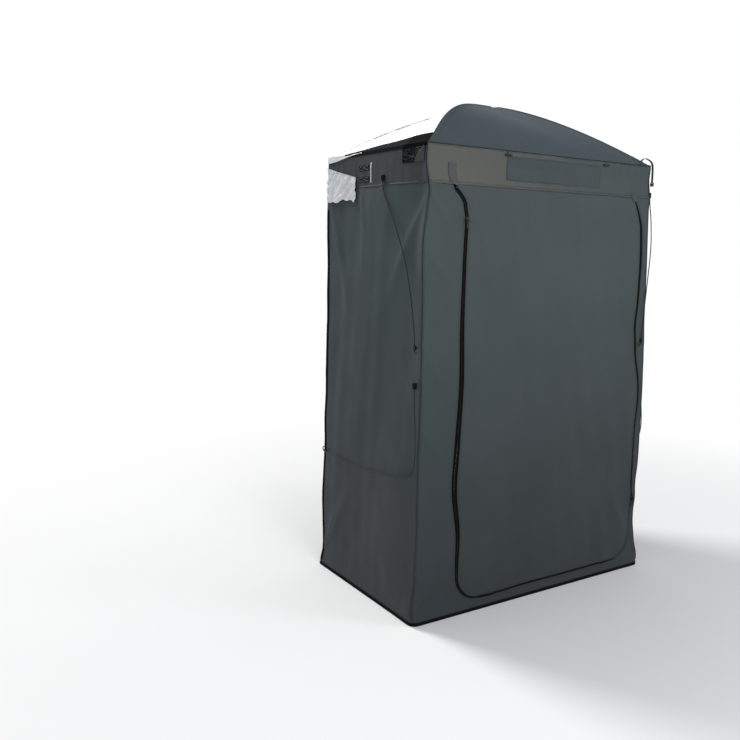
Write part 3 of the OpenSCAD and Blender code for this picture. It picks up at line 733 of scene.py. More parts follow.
# How far the cloth's edges stand from the zip's middle: wide at the left, nearly shut along the bottom
SEEN_LEFT = [(.06, .0045), (.10, .0065), (.20, .0088), (1.85, .0095), (1.89, .0095)]
SEEN_LOW = [(-.36, .0045), (-.30, .0072), (-.20, .0052), (.20, .0042), (.42, .0030), (.50, .0012)]
SEEN_RIGHT = [(.06, .0012), (.28, .0012), (.37, .0040), (.70, .0048), (1.20, .0062), (1.50, .0078),
              (1.70, .0078), (1.85, .0050), (1.89, .0040)]


def beside_zip(d, proud=0.0, part=slice(None)):
    """The line at distance d from the zip's centre, positive towards the door, on the cloth's face."""
    line = ZIP[part] + ZIP_IN[part] * d
    return front_at(line[:, 0], np.clip(line[:, 1], 0.002, BAND_Z), proud)


def nearest(x, z):
    """Index of the zip's point that lies nearest to x and z."""
    return int(np.argmin(np.abs(ZIP[:, 0] - x) + np.abs(ZIP[:, 1] - z)))


MID_BEND = 0.29            # share of a corner's radius that its middle lies in from both sides
low_left = nearest(-DOOR_LEFT + CORNER_LEFT_R * MID_BEND, SILL_Z + CORNER_LEFT_R * MID_BEND)
low_right = nearest(DOOR_RIGHT - CORNER_RIGHT_R * MID_BEND, SILL_Z + CORNER_RIGHT_R * MID_BEND)
bottom_left = nearest(-DOOR_LEFT + CORNER_LEFT_R, SILL_Z)
bottom_right = nearest(DOOR_RIGHT - CORNER_RIGHT_R, SILL_Z)

place = np.arange(len(ZIP))
SEEN = np.where(place <= bottom_left, spline(SEEN_LEFT, ZIP[:, 1]),
                np.where(place >= bottom_right, spline(SEEN_RIGHT, ZIP[:, 1]), spline(SEEN_LOW, ZIP[:, 0])))

# ---------------------------------------------------------------- door side

HALF_TAPE = 0.016          # half the tape's width: its outer part lies under the cloth
TAPE_SINK = -0.0026        # how far the tape lies behind the cloth's face
FRONT_OUT = (0, -1.0, 0)
HEM_Z = 0.004              # where the walls' cloth ends above the ground


def front_surround():
    """Cloth from the zip out to the corners and the ground, in one sheet."""
    inner = ZIP - ZIP_IN * SEEN[:, None]
    inner[:, 1] = np.minimum(inner[:, 1], BAND_Z)
    i = np.arange(len(ZIP))
    left_z = BAND_Z + (HEM_Z - BAND_Z) * (BAND_Z - ZIP[:, 1]) / (BAND_Z - ZIP[low_left, 1])
    right_z = BAND_Z + (HEM_Z - BAND_Z) * (BAND_Z - ZIP[:, 1]) / (BAND_Z - ZIP[low_right, 1])
    low = np.clip((i - low_left) / (low_right - low_left), 0, 1)
    edge_left, edge_right = -spline(EDGE[-1], HEM_Z), spline(EDGE[1], HEM_Z)
    outer_z = np.where(i <= low_left, left_z, np.where(i >= low_right, right_z, HEM_Z))
    outer_z = np.clip(outer_z, HEM_Z, BAND_Z)
    outer_x = np.where(i <= low_left, -spline(EDGE[-1], outer_z),
                       np.where(i >= low_right, spline(EDGE[1], outer_z),
                                edge_left + (edge_right - edge_left) * low))
    outer = np.stack([outer_x, outer_z], -1)
    t = np.linspace(0, 1, 19)[None, :, None]
    flat = inner[:, None, :] * (1 - t) + outer[:, None, :] * t
    return front_at(flat[..., 0], flat[..., 1])


surround = front_surround()
for name, part, flat, area in (("front_strip_left", slice(0, low_left + 1), (0.26, 1.90), 0.375),
                               ("front_sill", slice(low_left, low_right + 1), (1.41, 0.095), 0.072),
                               ("front_strip_right", slice(low_right, None), (0.13, 1.90), 0.085)):
    cloth(f"{name}_cloth", surround[part], (0, -1, 0), "wall_cloth", "wall_cloth", "tent", [name])


def door_sides(z):
    """Left and right edges of the door's cloth at heights z."""
    rows = ZIP + ZIP_IN * SEEN[:, None]
    left, right = rows[:bottom_left + 1], rows[bottom_right:]
    order_l, order_r = np.argsort(left[:, 1]), np.argsort(right[:, 1])
    return (np.interp(z, left[order_l, 1], left[order_l, 0]),
            np.interp(z, right[order_r, 1], right[order_r, 0]))


door_z = np.concatenate([SILL_Z + 0.0052 + 0.13 * np.linspace(0, 1, 18)[:-1] ** 1.8,
                         along(SILL_Z + 0.1352, BAND_Z - 0.001, FINE * 1.1)])
door_l, door_r = door_sides(door_z)
door_u = along(0, 1, FINE * 0.95)[None, :]
door_grid = front_at(door_l[:, None] * (1 - door_u) + door_r[:, None] * door_u, door_z[:, None] + 0 * door_u)
cloth("door_cloth_sheet", door_grid, (0, -1, 0), "door_cloth", "door_cloth", "door", ["door_panel"])


def zip_tape(name, side, part, body, *nodes):
    """Half the width of a stretch of zip tape: side is -1 for the frame's half and 1 for the door's."""
    inward = ZIP_IN[part]
    across = np.stack([inward[:, 0], 0 * inward[:, 0], inward[:, 1]], -1)
    tape = ribbon(name, beside_zip(side * HALF_TAPE / 2, TAPE_SINK, part), across, HALF_TAPE, 0.0010, 0.0002)
    settle(tape, M["zip_tape"], "zip_tape", body, *nodes)


def coil(name, part, d, body):
    """Teeth of one half of the coil: fine loops at a steady pitch along the zip."""
    line = walk(beside_zip(d, -0.0008, part), 0.0016)
    tangent = np.gradient(line, axis=0)
    tangent /= np.linalg.norm(tangent, axis=1)[:, None]
    side = np.cross(tangent, (0, -1.0, 0))
    points, faces = [], []
    for p, a, s in zip(line, tangent, side):
        base = len(points)
        n = np.array((0, -1.0, 0))
        for e in (-1, 1):
            c = p + s * 0.0019 * e
            points += [c - a * 0.0005 - n * 0.0006, c + a * 0.0005 - n * 0.0006, c + a * 0.0004 + n * 0.0005,
                       c - a * 0.0004 + n * 0.0005]
        faces += [(base, base + 3, base + 2, base + 1), (base + 4, base + 5, base + 6, base + 7),
                  (base, base + 1, base + 5, base + 4), (base + 1, base + 2, base + 6, base + 5),
                  (base + 2, base + 3, base + 7, base + 6), (base + 3, base, base + 4, base + 7)]
    return settle(linked(mesh_from(name, points, faces, False), name), M["zip_coil"], "zip_tape", body)


zip_tape("zip_tape_left", -1, slice(0, bottom_left + 1), "tent", "zip_left")
zip_tape("zip_tape_bottom", -1, slice(bottom_left, bottom_right + 1), "tent", "zip_bottom")
zip_tape("zip_tape_right", -1, slice(bottom_right, None), "tent", "zip_right")
zip_tape("zip_tape_door", 1, slice(2, -2), "door")
coil("zip_coil_frame", slice(2, -2), -0.0020, "tent")
coil("zip_coil_door", slice(4, -4), 0.0020, "door")

for word, side, part, slot, body in (("frame", -1, slice(None), "wall_cloth", "tent"),
                                     ("door", 1, slice(4, -4), "door_cloth", "door")):
    seams = [(beside_zip(side * (SEEN[part, None] + gap), 0, part), FRONT_OUT) for gap in (0.0030, 0.0090)]
    sew(f"zip_stitches_{word}", seams, 0.0002, "thread_dark", slot, body)


def band_front(x, z):
    """Puckers of the band: short upright ones from its seams, and tension from the patch and corners."""
    p = np.stack([x, 0 * x, z], -1)
    share = (z - BAND_Z) / BAND_H
    seam = bell(share / 0.35) + bell((1 - share) / 0.30)
    held = step(0, .06, share) * (1 - step(.94, 1, share))
    return held * (0.0012 * seam * field(p, 0.055, 41, (1, 1, 5)) + 0.0022 * field(p, 0.22, 42, (1, 1, 0.8))
                   + 0.0025 * bell((x + .60) / .05) * bell((share - .5) / .5))


band_u = along(-1, 1, FINE * 1.2)
band_z = along(BAND_Z, EAVE_Z, FINE * 0.8)
band_u, band_z = grid_of(band_u, band_z)
band_x = np.where(band_u < 0, band_u * spline(EDGE[-1], band_z), band_u * spline(EDGE[1], band_z))
band_grid = front_at(band_x, band_z)
band_grid[..., 1] += band_front(band_x, band_z)
cloth("front_band_cloth", band_grid, (0, -1, 0), "band_cloth", "band_cloth", "tent", ["front_band"])


def band_y(x, z):
    return front_at(x, z)[..., 1] + band_front(x, z)


def on_band(x, z, proud):
    x, z = np.broadcast_arrays(np.asarray(x, float), np.asarray(z, float))
    return np.stack([x, band_y(x, z) - proud, z], -1)


# the turned-up lower edge of the band, with two rows of stitches
FOLD_W = 0.012
fold_x = along(-0.644, 0.668, FINE)
fold = ribbon("band_seam_fold", on_band(fold_x, np.full_like(fold_x, BAND_Z + FOLD_W / 2), 0.0001),
              np.tile((0, 0, 1.0), (len(fold_x), 1)), FOLD_W, 0.0012, 0.0004)
settle(fold, M["band_cloth"], "band_cloth", "tent")
sew("band_stitches", [(on_band(fold_x, np.full_like(fold_x, BAND_Z + .003), 0), FRONT_OUT),
                      (on_band(fold_x, np.full_like(fold_x, BAND_Z + .009), 0), FRONT_OUT)], 0.0017,
    "thread_dark", "band_cloth")

# blank patch with folded, stitched edges
patch_x0, patch_x1, patch_z0, patch_z1 = -.248, .322, 1.923, 2.029
px, pz = grid_of(along(patch_x0, patch_x1, FINE), along(patch_z0, patch_z1, FINE * 0.6))
edge_near = np.minimum(np.minimum(px - patch_x0, patch_x1 - px), np.minimum(pz - patch_z0, patch_z1 - pz))
patch_p = np.stack([px, 0 * px, pz], -1)
patch_grid = on_band(px, pz, 0.0018 + 0.0008 * bell((edge_near - .006) / .004) + 0.0007
                     * field(patch_p, 0.09, 51))
cloth("blank_patch_cloth", patch_grid, (0, -1, 0), "patch_cloth", "patch_cloth", "tent", ["blank_patch"])
inset = 0.005
patch_lines = []
for x0, z0, x1, z1 in ((patch_x0 + inset, patch_z0 + inset, patch_x1 - inset, patch_z0 + inset),
                       (patch_x0 + inset, patch_z1 - inset, patch_x1 - inset, patch_z1 - inset),
                       (patch_x0 + inset, patch_z0 + inset, patch_x0 + inset, patch_z1 - inset),
                       (patch_x1 - inset, patch_z0 + inset, patch_x1 - inset, patch_z1 - inset)):
    t = np.linspace(0, 1, 60)
    patch_lines.append((on_band(x0 + (x1 - x0) * t, z0 + (z1 - z0) * t, 0.0026), FRONT_OUT))
sew("patch_stitches", patch_lines, 0.0002, "thread_dark", "patch_cloth")

# garage over the zip's top end: a small lapped tab that bends with the zip below it
down = np.linspace(0, 1, 24)
garage_c = spline([(0, -.5390), (.45, -.5385), (.75, -.531), (1, -.518)], down)
garage_z = np.linspace(1.978, 1.888, 24)
gu = np.linspace(-1, 1, 13)[None, :]
gx = garage_c[:, None] + gu * 0.0215
gz = garage_z[:, None] - 0.006 * step(.6, 1, down)[:, None] * gu
garage_grid = on_band(gx, gz, 0.0030 + 0.0022 * (1 - gu**2))
cloth("zip_garage_cloth", garage_grid, (0, -1, 0), "garage_cloth", "band_cloth", "tent", ["zip_garage"])
sew("garage_stitches", [(garage_grid[:, 1], FRONT_OUT), (garage_grid[:, -2], FRONT_OUT),
                        (garage_grid[2, :], FRONT_OUT)], 0.0003, "thread_dark", "band_cloth")

# cover over the top of the right zip
cover_z = np.linspace(1.905, 1.874, 18)
cover_c = spline([(0, .572), (.5, .577), (1, .587)], np.linspace(0, 1, 18))
cx = cover_c[:, None] + gu * 0.0165
cz = cover_z[:, None] + 0 * gu
cover_grid = front_at(cx, cz, 0.0030 + 0.0016 * (1 - gu**2))
cloth("zip_top_cover", cover_grid, (0, -1, 0), "door_cloth", "door_cloth", "tent", [])

# ---------------------------------------------------------------- side walls, bands and vents

VENT_Y0, VENT_Y1, VENT_Z0, VENT_Z1 = -.417, -.252, 1.982, 2.044


def roof_arch(s, k):
    arch = np.maximum(0, 1 - (s / RIM_S) ** FULLNESS[k]) ** ROUNDNESS[k]
    return EAVE_Z + ROOF_RISE * (1 - DROOP[k] * s) * arch


def roof_at(s, t, a, b, proud=0.0):
    """Top of the roof between corners a and b, s from the centre and t across."""
    s, t = np.broadcast_arrays(np.asarray(s, float), np.asarray(t, float))
    ca, cb = CORNERS[a], CORNERS[b]
    x = s * (ca[0] + (cb[0] - ca[0]) * t) * TOP_W / 2
    y = s * (ca[1] + (cb[1] - ca[1]) * t) * DEPTH / 2
    z = roof_arch(s, a) * (1 - t) + roof_arch(s, b) * t
    z = z - 0.014 * 16 * t * (1 - t) * s * np.maximum(0, RIM_S - s) + ROOF_T + proud
    return np.stack([x, y, z], -1)


for side, word in SIDES:
    v, z = grid_of(along(FRONT_Y, REAR_Y),
                   np.concatenate([[0.004, 0.012, 0.024], along(0.036, BAND_Z, FINE * 1.25)]))
    cloth(f"{word}_wall_cloth", side_at(side, v, z), (side, 0, 0), "wall_cloth", "wall_cloth", "tent",
          [f"{word}_wall"])
    ys = np.unique(np.concatenate([along(FRONT_Y, VENT_Y0, FINE * 0.7), along(VENT_Y0, VENT_Y1, FINE),
                                   along(VENT_Y1, REAR_Y, FINE)]))
    zs = np.unique(np.concatenate([along(BAND_Z, VENT_Z0, FINE * 0.8), along(VENT_Z0, VENT_Z1, FINE),
                                   [EAVE_Z - .003, EAVE_Z]]))
    v, z = grid_of(ys, zs)
    mid_y, mid_z = (v[:-1, :-1] + v[1:, 1:]) / 2, (z[:-1, :-1] + z[1:, 1:]) / 2
    hole = (mid_y > VENT_Y0) & (mid_y < VENT_Y1) & (mid_z > VENT_Z0) & (mid_z < VENT_Z1)
    loose = step(BAND_Z, BAND_Z + .02, z) * (1 - step(2.0, 2.05, z)) * step(FRONT_Y, FRONT_Y + .05, v)
    puckers = 0.0016 * field(np.stack([v, 0 * v + side, z], -1), 0.07, 61 + side, (1, 1, 4)) * loose
    band = side_at(side, v, z)
    band[..., 0] -= side * np.abs(puckers)
    cloth(f"{word}_band_cloth", band, (side, 0, 0), "shaded_band_cloth", "band_cloth", "tent", [f"{word}_band"],
          skip=hole)


def net(name, y0, y1, z0, z1, at, pitch, wire):
    """A knitted net as crossing threads; at gives the point for a y and z."""
    threads = []
    for y in np.arange(y0 + pitch / 2, y1, pitch):
        threads.append(at(np.full(6, y), np.linspace(z0, z1, 6)))
    for z in np.arange(z0 + pitch / 2, z1, pitch):
        threads.append(at(np.linspace(y0, y1, 12), np.full(12, z)))
    return merged(name, [tube(f"{name}_{i}", t, wire / 2, 4, False) for i, t in enumerate(threads)])


net_pitch, net_wire = ((0.0021, 0.00105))
vent_nets = []
for side, word in SIDES:
    part = net(f"vent_net_{word}", VENT_Y0 - .004, VENT_Y1 + .004, VENT_Z0 - .004, VENT_Z1 + .002,
               lambda y, z: side_at(side, y, z, -0.0016), net_pitch, net_wire)
    vent_nets.append(part)
    # black binding round the window
    edges = ((VENT_Y0, VENT_Z0, VENT_Y1, VENT_Z0, 30), (VENT_Y1, VENT_Z0, VENT_Y1, VENT_Z1, 14),
             (VENT_Y1, VENT_Z1, VENT_Y0, VENT_Z1, 30), (VENT_Y0, VENT_Z1, VENT_Y0, VENT_Z0, 14))
    tapes = []
    for i, (y0, z0, y1, z1, count) in enumerate(edges):
        line = side_at(side, np.linspace(y0, y1, count), np.linspace(z0, z1, count), 0.0002)
        across = np.tile((0, 0, 1.0) if i % 2 == 0 else (0, 1.0, 0), (count, 1))
        tapes.append(ribbon(f"vent_binding_{word}_{i}", line, across, 0.008, 0.001))
    settle(merged(f"vent_binding_{word}", tapes), M["black_webbing"], "black_webbing", "tent")
vent_net = merged("vent_nets", vent_nets)
settle(vent_net, M["vent_mesh"], "vent_mesh", "tent", "vent_meshes")

for side, word in SIDES:
    body = f"vent_flap_{word}"
    # a soft three-cornered flap folded back at the window's lower front corner
    u, w = grid_of(np.linspace(0, 1, 22), np.linspace(0, 1, 18))
    y = VENT_Y0 + .002 + u * (.074 - .040 * w**1.5) * (1 - .70 * step(.5, 1, w))
    z = VENT_Z0 - .004 + w * .062
    grid = side_at(side, y, z, 0.0012 + 0.0035 * np.sin(u * math.pi) * (1 - .5 * w) + 0.0022 * u)
    cloth(f"vent_flap_cloth_{word}", grid, (side, 0, 0), "shaded_band_cloth", "band_cloth", body,
          [f"vent_flap_{word}"])

HOOD_FRONT_Y, HOOD_REAR_Y = .152, .434
HOOD_HEM_Z = 1.838
HOOD_CORNER_Y = .338                                    # where the seam rises above the hinge line
HOOD_TURN_Z = float(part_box("side_hood_left")[1][2])      # the hood turns about its upper edge


def hood_seam(y):
    """Height of the hood's upper seam, which falls towards the front."""
    return 1.953 + (y - .20) * .205


def crumpled(side, y, z, w):
    """Points of the hood's cloth at y and z, looser with w from its seam to its free edge."""
    slant = np.stack([0 * y + side, y, z + y * .55], -1)
    out = 0.0036 + w * (0.0040 + 0.0034 * field(slant, 0.12, 71 + side, (1, 2.2, .8))) \
        + 0.0030 * ridges(slant, 0.075, 73 + side, (1, 2.4, .8)) + 0.0014 * ridges(slant, .035, 75)
    grid = side_at(side, y, z)
    grid[..., 0] = side * (half_w(z) + np.maximum(out, 0.0010))
    return grid


for side, word in SIDES:
    # silver hood over the van's door, and its sewn-down corner above the line that it turns about
    y, w = grid_of(along(HOOD_FRONT_Y, HOOD_REAR_Y, FINE * .8), np.linspace(0, 1, 30))
    top = np.minimum(hood_seam(y), HOOD_TURN_Z)
    low = HOOD_HEM_Z + 0.005 * np.sin(y * 31) + 0.004 * np.sin(y * 73)
    grid = crumpled(side, y, top + (low - top) * w, w)
    cloth(f"side_hood_cloth_{word}", grid, (side, 0, 0), "silver_cloth", "silver_cloth", f"side_hood_{word}",
          [f"side_hood_{word}"])
    sew(f"hood_stitches_{word}", [(grid[:, 1], (side, 0, 0))], 0.0003, "thread_dark", "silver_cloth",
        f"side_hood_{word}")
    y, w = grid_of(along(HOOD_CORNER_Y, HOOD_REAR_Y, FINE * .8), np.linspace(0, 1, 6))
    grid = crumpled(side, y, HOOD_TURN_Z + .0004 + (hood_seam(y) - HOOD_TURN_Z) * w, 0 * w)
    cloth(f"hood_corner_{word}", grid, (side, 0, 0), "silver_cloth", "silver_cloth", "tent", [])

# rear band and the silver apron that hangs over it
x, z = grid_of(along(-.664, .664), along(1.970, EAVE_Z, FINE * .8))
grid = np.stack([x, REAR_Y - 0.001 - 0.0012 * (1 + field(np.stack([x, 0 * x, z], -1), .09, 81)) / 2, z], -1)
cloth("rear_band_cloth", grid, (0, 1, 0), "shaded_band_cloth", "band_cloth", "tent", ["rear_band"])
APRON_DROP = 0.186
x, w = grid_of(along(-.638, .638), np.linspace(0, 1, 30))
drop = APRON_DROP + 0.004 * np.sin(x * 17) + 0.003 * np.sin(x * 41 + 1)
z = EAVE_Z - 0.0006 - drop * w
p = np.stack([x, 0 * x, z], -1)
out = 0.0012 + 0.0010 * (1 + ridges(p, .05, 84)) \
    + w * (0.0050 + 0.0042 * field(p, 0.13, 82, (1, 1, 3.2)) + 0.0016 * ridges(p, 0.10, 83))
grid = np.stack([x, REAR_Y + np.maximum(out, 0.0008), z], -1)
cloth("rear_apron_cloth", grid, (0, 1, 0), "silver_cloth", "silver_cloth", "rear_apron", ["rear_apron"])
apron_lines = [(grid[:, -2], (0, 1.0, 0)), (grid[:, 1], (0, 1.0, 0))]
sew("apron_stitches", apron_lines, 0.0003, "thread_pale", "silver_cloth", "rear_apron")

# ---------------------------------------------------------------- hem and edge bindings


HEM_SIDE, HEM_FRONT = 70, 110        # points along the hem of a side wall and of the door side


def hem_line(z):
    """Round the three closed sides at height z, from the left rear by the front to the right rear."""
    left = side_at(-1, np.linspace(REAR_Y, FRONT_Y, HEM_SIDE), np.full(HEM_SIDE, z))
    right = side_at(1, np.linspace(FRONT_Y, REAR_Y, HEM_SIDE), np.full(HEM_SIDE, z))
    x = np.linspace(-spline(EDGE[-1], z), spline(EDGE[1], z), HEM_FRONT)
    return np.concatenate([left[:-1], front_at(x, np.full(HEM_FRONT, z)), right[1:]])


def hem_strip(keep):
    """Binding folded over the cloth's bottom edge, soft and slightly puckered."""
    lows = np.array([0.0006, 0.0012, 0.0040, 0.0080, 0.0120, 0.0150, 0.0158])
    outs = np.array([0.0006, 0.0020, 0.0027, 0.0025, 0.0026, 0.0021, 0.0006])
    rows = []
    for z, out in zip(lows, outs):
        line = hem_line(max(z, HEM_Z))
        normal = np.stack([-np.gradient(line[:, 1]), np.gradient(line[:, 0])], -1)
        normal /= np.linalg.norm(normal, axis=1)[:, None]
        for _ in range(3):
            normal[1:-1] = (normal[:-2] + normal[1:-1] * 2 + normal[2:]) / 4
        pucker = 0.0005 * field(np.stack([line[:, 0], line[:, 1], 0 * line[:, 0]], -1), .03, 91)
        line[:, :2] -= normal * (out + pucker * (0.002 < z < .0145))[:, None]
        line[:, 2] = z
        rows.append(line)
    return np.array(rows).transpose(1, 0, 2)[keep]


hem_rows = []
for word, start, count, outward, flat in (("left", 0, HEM_SIDE, (-1, 0, 0), (0.875, 0.0185)),
                                          ("front", HEM_SIDE - 1, HEM_FRONT, (0, -1, 0), (1.42, 0.0185)),
                                          ("right", HEM_SIDE + HEM_FRONT - 2, HEM_SIDE, (1, 0, 0),
                                           (0.875, 0.0185))):
    grid = hem_strip(slice(start, start + count))
    cloth(f"hem_binding_{word}", grid, outward, "hem_binding", "hem_binding", "tent", [f"hem_{word}"],
          thick=0.0010)
    hem_rows.append((grid[:, -2], outward))
sew("hem_stitches", hem_rows, 0.0002, "thread_dark", "hem_binding")

for side, word in SIDES:
    # binding folded over the open rear edge of the side wall
    z = along(.026, 1.80, .012)
    rows = []
    for back, out in ((0.022, 0.0004), (0.0205, 0.0013), (0.010, 0.0015), (0.0012, 0.0014), (0, 0.0004)):
        line = side_at(side, np.full_like(z, REAR_Y - back), z)
        line[:, 0] += side * (out + (0.0003 * field(line, .03, 95) if 0.001 < back < .021 else 0))
        rows.append(line)
    rows.append(side_at(side, np.full_like(z, REAR_Y), z) + np.array([-side * 0.0018, 0.0008, 0]))
    grid = np.array(rows)
    cloth(f"rear_edge_binding_{word}", grid, (side, 0, 0), "hem_binding", "hem_binding", "tent",
          [f"rear_edge_{word}"],
          thick=0.0009)
    # piping down the front corner, and the felled seam beside it
    z = along(.026, EAVE_Z - .002, .010)
    corner = side_at(side, np.full_like(z, FRONT_Y), z)
    settle(tube(f"corner_piping_{word}", corner + np.array([side * 0.0006, -0.0006, 0]), 0.0021, 8),
           M["seam_tape"], "wall_cloth", "tent")
    beside = side_at(side, np.full_like(z, FRONT_Y + .009), z)
    front_side = front_at(side * (spline(EDGE[side], z) - .008), z)
    front_side[:, 1] += np.where(z > BAND_Z, band_front(front_side[:, 0], z), 0)
    sew(f"corner_stitches_{word}", [(beside, (side, 0, 0)), (front_side, FRONT_OUT)], 0.0003, "thread_dark",
        "wall_cloth")
    # seam between wall and band
    y = along(FRONT_Y + .004, REAR_Y - .004, .010)
    line = side_at(side, y, np.full_like(y, BAND_Z + .004), 0.0002)
    upright = np.tile((0, 0, 1.0), (len(y), 1))
    tape = ribbon(f"band_seam_{word}", line if side < 0 else line[::-1], upright, 0.011, 0.0007, 0.0002)
    settle(tape, M["shaded_band_cloth"], "band_cloth", "tent")
    sew(f"band_seam_stitches_{word}", [(side_at(side, y, np.full_like(y, BAND_Z + h), 0.0002), (side, 0, 0))
                                       for h in (.001, .007)], 0.0011, "thread_dark", "band_cloth")

# ---------------------------------------------------------------- roof

ROOF_FACES = [("roof_front", 0, 1, "roof_grey_cloth", (0, -.3, 1)),
              ("roof_left", 2, 0, "silver_cloth", (-.3, 0, 1)),
              ("roof_right", 1, 3, "silver_cloth", (.3, 0, 1)),
              ("roof_rear", 3, 2, "silver_cloth", (0, .3, 1))]
roof_s = np.concatenate([[1, .996, .992, RIM_S, .975, .962, .946],
                         np.linspace(.93, .02, 62)])
for k, (name, a, b, tone, up) in enumerate(ROOF_FACES):
    s, t = grid_of(roof_s, np.linspace(0, 1, 92))
    grid = roof_at(s, t, a, b)
    seam = np.sin(math.pi * t) ** .5 * (1 - step(.86, .97, s)) * step(.02, .12, s)
    if name == "roof_front":
        wrinkle = 0.0016 * field(grid, .30, 101,
                                 (1, 1, 1)) + 0.0022 * bell((t - .18) / .05) * bell((s - .7) / .3) \
            + 0.0016 * bell((t - .84) / .05) * bell((s - .75) / .3)
    else:
        wrinkle = 0.0034 * field(grid, .16, 101 + k) + 0.0022 * ridges(grid, .11, 111 + k) \
            + 0.0010 * ridges(grid, .05, 121 + k)
    normal = normals_of(grid)
    grid = grid + normal * (np.sign(normal[..., 2]) * seam * wrinkle)[..., None]
    flat, area = ((1.38, .58), .39) if name in ("roof_front", "roof_rear") else ((0.90, .78), .345)
    cloth(f"{name}_cloth", grid, up, tone, tone, "tent", [name])

# piping along each ridge, where the faces meet over the poles
for name, first, second, tone in (("front_left", 0, 1, "roof_grey_cloth"),
                                  ("front_right", 1, 3, "roof_grey_cloth"),
                                  ("rear_left", 2, 0, "silver_cloth"), ("rear_right", 3, 2, "silver_cloth")):
    s = np.linspace(.985, .03, 70)
    centre = roof_at(s, np.zeros_like(s), first, second, 0.0004)
    settle(tube(f"ridge_piping_{name}", centre, 0.0022, 8), M[tone], tone, "tent")

s = np.linspace(.95, .10, 80)
for name, thread, faces in (("front", "thread_dark", ((0, 1),)),
                            ("silver", "thread_pale", ((3, 2), (2, 0), (1, 3)))):
    seams = [(roof_at(s, t, first, second, 0.0004), (0, 0, 1.0)) for first,
             second in faces for t in (.02 / s, 1 - .02 / s)]
    sew(f"roof_stitches_{name}", seams, 0.0004, thread,
        "roof_grey_cloth" if name == "front" else "silver_cloth")

# bar tacks of the pole sleeves: short dark dashes beside the rear ridges
tacks = []
for first, second in ((2, 0), (3, 2)):
    for s0, s1 in ((.735, .655), (.605, .515), (.425, .335), (.25, .17)):
        s = np.linspace(s0, s1, 14)
        line = roof_at(s, np.full_like(s, .035), first, second, 0.0028)
        across = np.cross(np.gradient(line, axis=0), (0, 0, 1.0))
        tacks.append(ribbon("sleeve_tack", line, across, 0.006, 0.0014, 0.0004))
settle(merged("sleeve_tacks", tacks), M["seam_tape"], "silver_cloth", "tent")

# eave: dark piping on the front, and on the sides the cap, darkened as painted shade, and the silver drip
# edge
x = along(-.669, .670, .012)
eave = np.stack([x, band_y(x, np.full_like(x, EAVE_Z)) - 0.0010, np.full_like(x, EAVE_Z + .0010)], -1)
settle(tube("eave_piping_front", eave, 0.0022, 8), M["seam_tape"], "roof_grey_cloth", "tent")
sew("eave_stitches_front", [(eave + np.array([0, .0006, -.0065]), FRONT_OUT)], 0.0004, "thread_dark",
    "band_cloth")

CAP = [(-.452, .038), (-.383, .043), (-.248, .042), (-.118, .032), (.021, .026), (.198, .010), (.30, .003)]


def cap_at(side, y, rise, lift):
    """A point on the roof's side face by its y and its rise above the eave, raised by lift."""
    a, b = (2, 0) if side < 0 else (1, 3)
    lows, highs = np.full_like(y, .78), np.full_like(y, 1.0)
    for _ in range(26):
        mid = (lows + highs) / 2
        t = np.clip((side * y / (DEPTH / 2) / mid + 1) / 2, 0, 1)
        above = roof_at(mid, t, a, b)[..., 2] - EAVE_Z - ROOF_T > rise
        lows, highs = np.where(above, mid, lows), np.where(above, highs, mid)
    t = np.clip((side * y / (DEPTH / 2) / highs + 1) / 2, 0, 1)
    return roof_at(highs, t, a, b) + np.array([side * lift * .6, 0, lift])


def over_eave(side, y, count, lift):
    """Rows from the band's top, over the roof's edge and up the roof as far as the dark cloth goes."""
    under = [side_at(side, y, np.full_like(y, EAVE_Z + rise), proud) for rise, proud in
             ((-.012, .0016), (-.006, .0020), (0, .0026), (.0045, .0026))]
    rim = np.stack([np.full_like(y, side * (TOP_W / 2 - .0025)), y,
                    np.full_like(y, EAVE_Z + ROOF_T + .0030)], -1)
    rises = [cap_at(side, y, np.maximum(spline(CAP, y), .003) * w, lift) for w in np.linspace(.04, 1, count)]
    return np.array(under + [rim] + rises)


for side, word, net_area in ((-1, "left", .0157), (1, "right", .0185)):
    grid = over_eave(side, along(VENT_Y1 - .001, .262), 7, .0022)
    cloth(f"eave_cap_{word}", grid, (side, 0, 1), "shaded_cap_cloth", "band_cloth", "tent", [])
    grid = over_eave(side, along(-.4335, VENT_Y1, FINE * .7), 9, .0026)
    cloth(f"vent_top_{word}", grid, (side, 0, 1), "vent_mesh", "vent_mesh", "tent", [])
    # silver drip edge hanging over the band towards the rear
    y, w = grid_of(along(.10, .434, FINE), np.linspace(0, 1, 9))
    z = EAVE_Z + .0045 - (0.004 + 0.026 * step(.10, .43, y)) * w
    p = np.stack([0 * y, y, z], -1)
    grid = side_at(side, y, np.minimum(z, EAVE_Z))
    grid[..., 0] = side * (half_w(z) + 0.0016 + 0.0022 * w + 0.0008 * w * field(p, .06, 131 + side))
    grid[..., 2] = z
    cloth(f"drip_edge_{word}", grid, (side, 0, 0), "silver_cloth", "silver_cloth", "tent", [])

# ---------------------------------------------------------------- sewn-on pieces at the sides


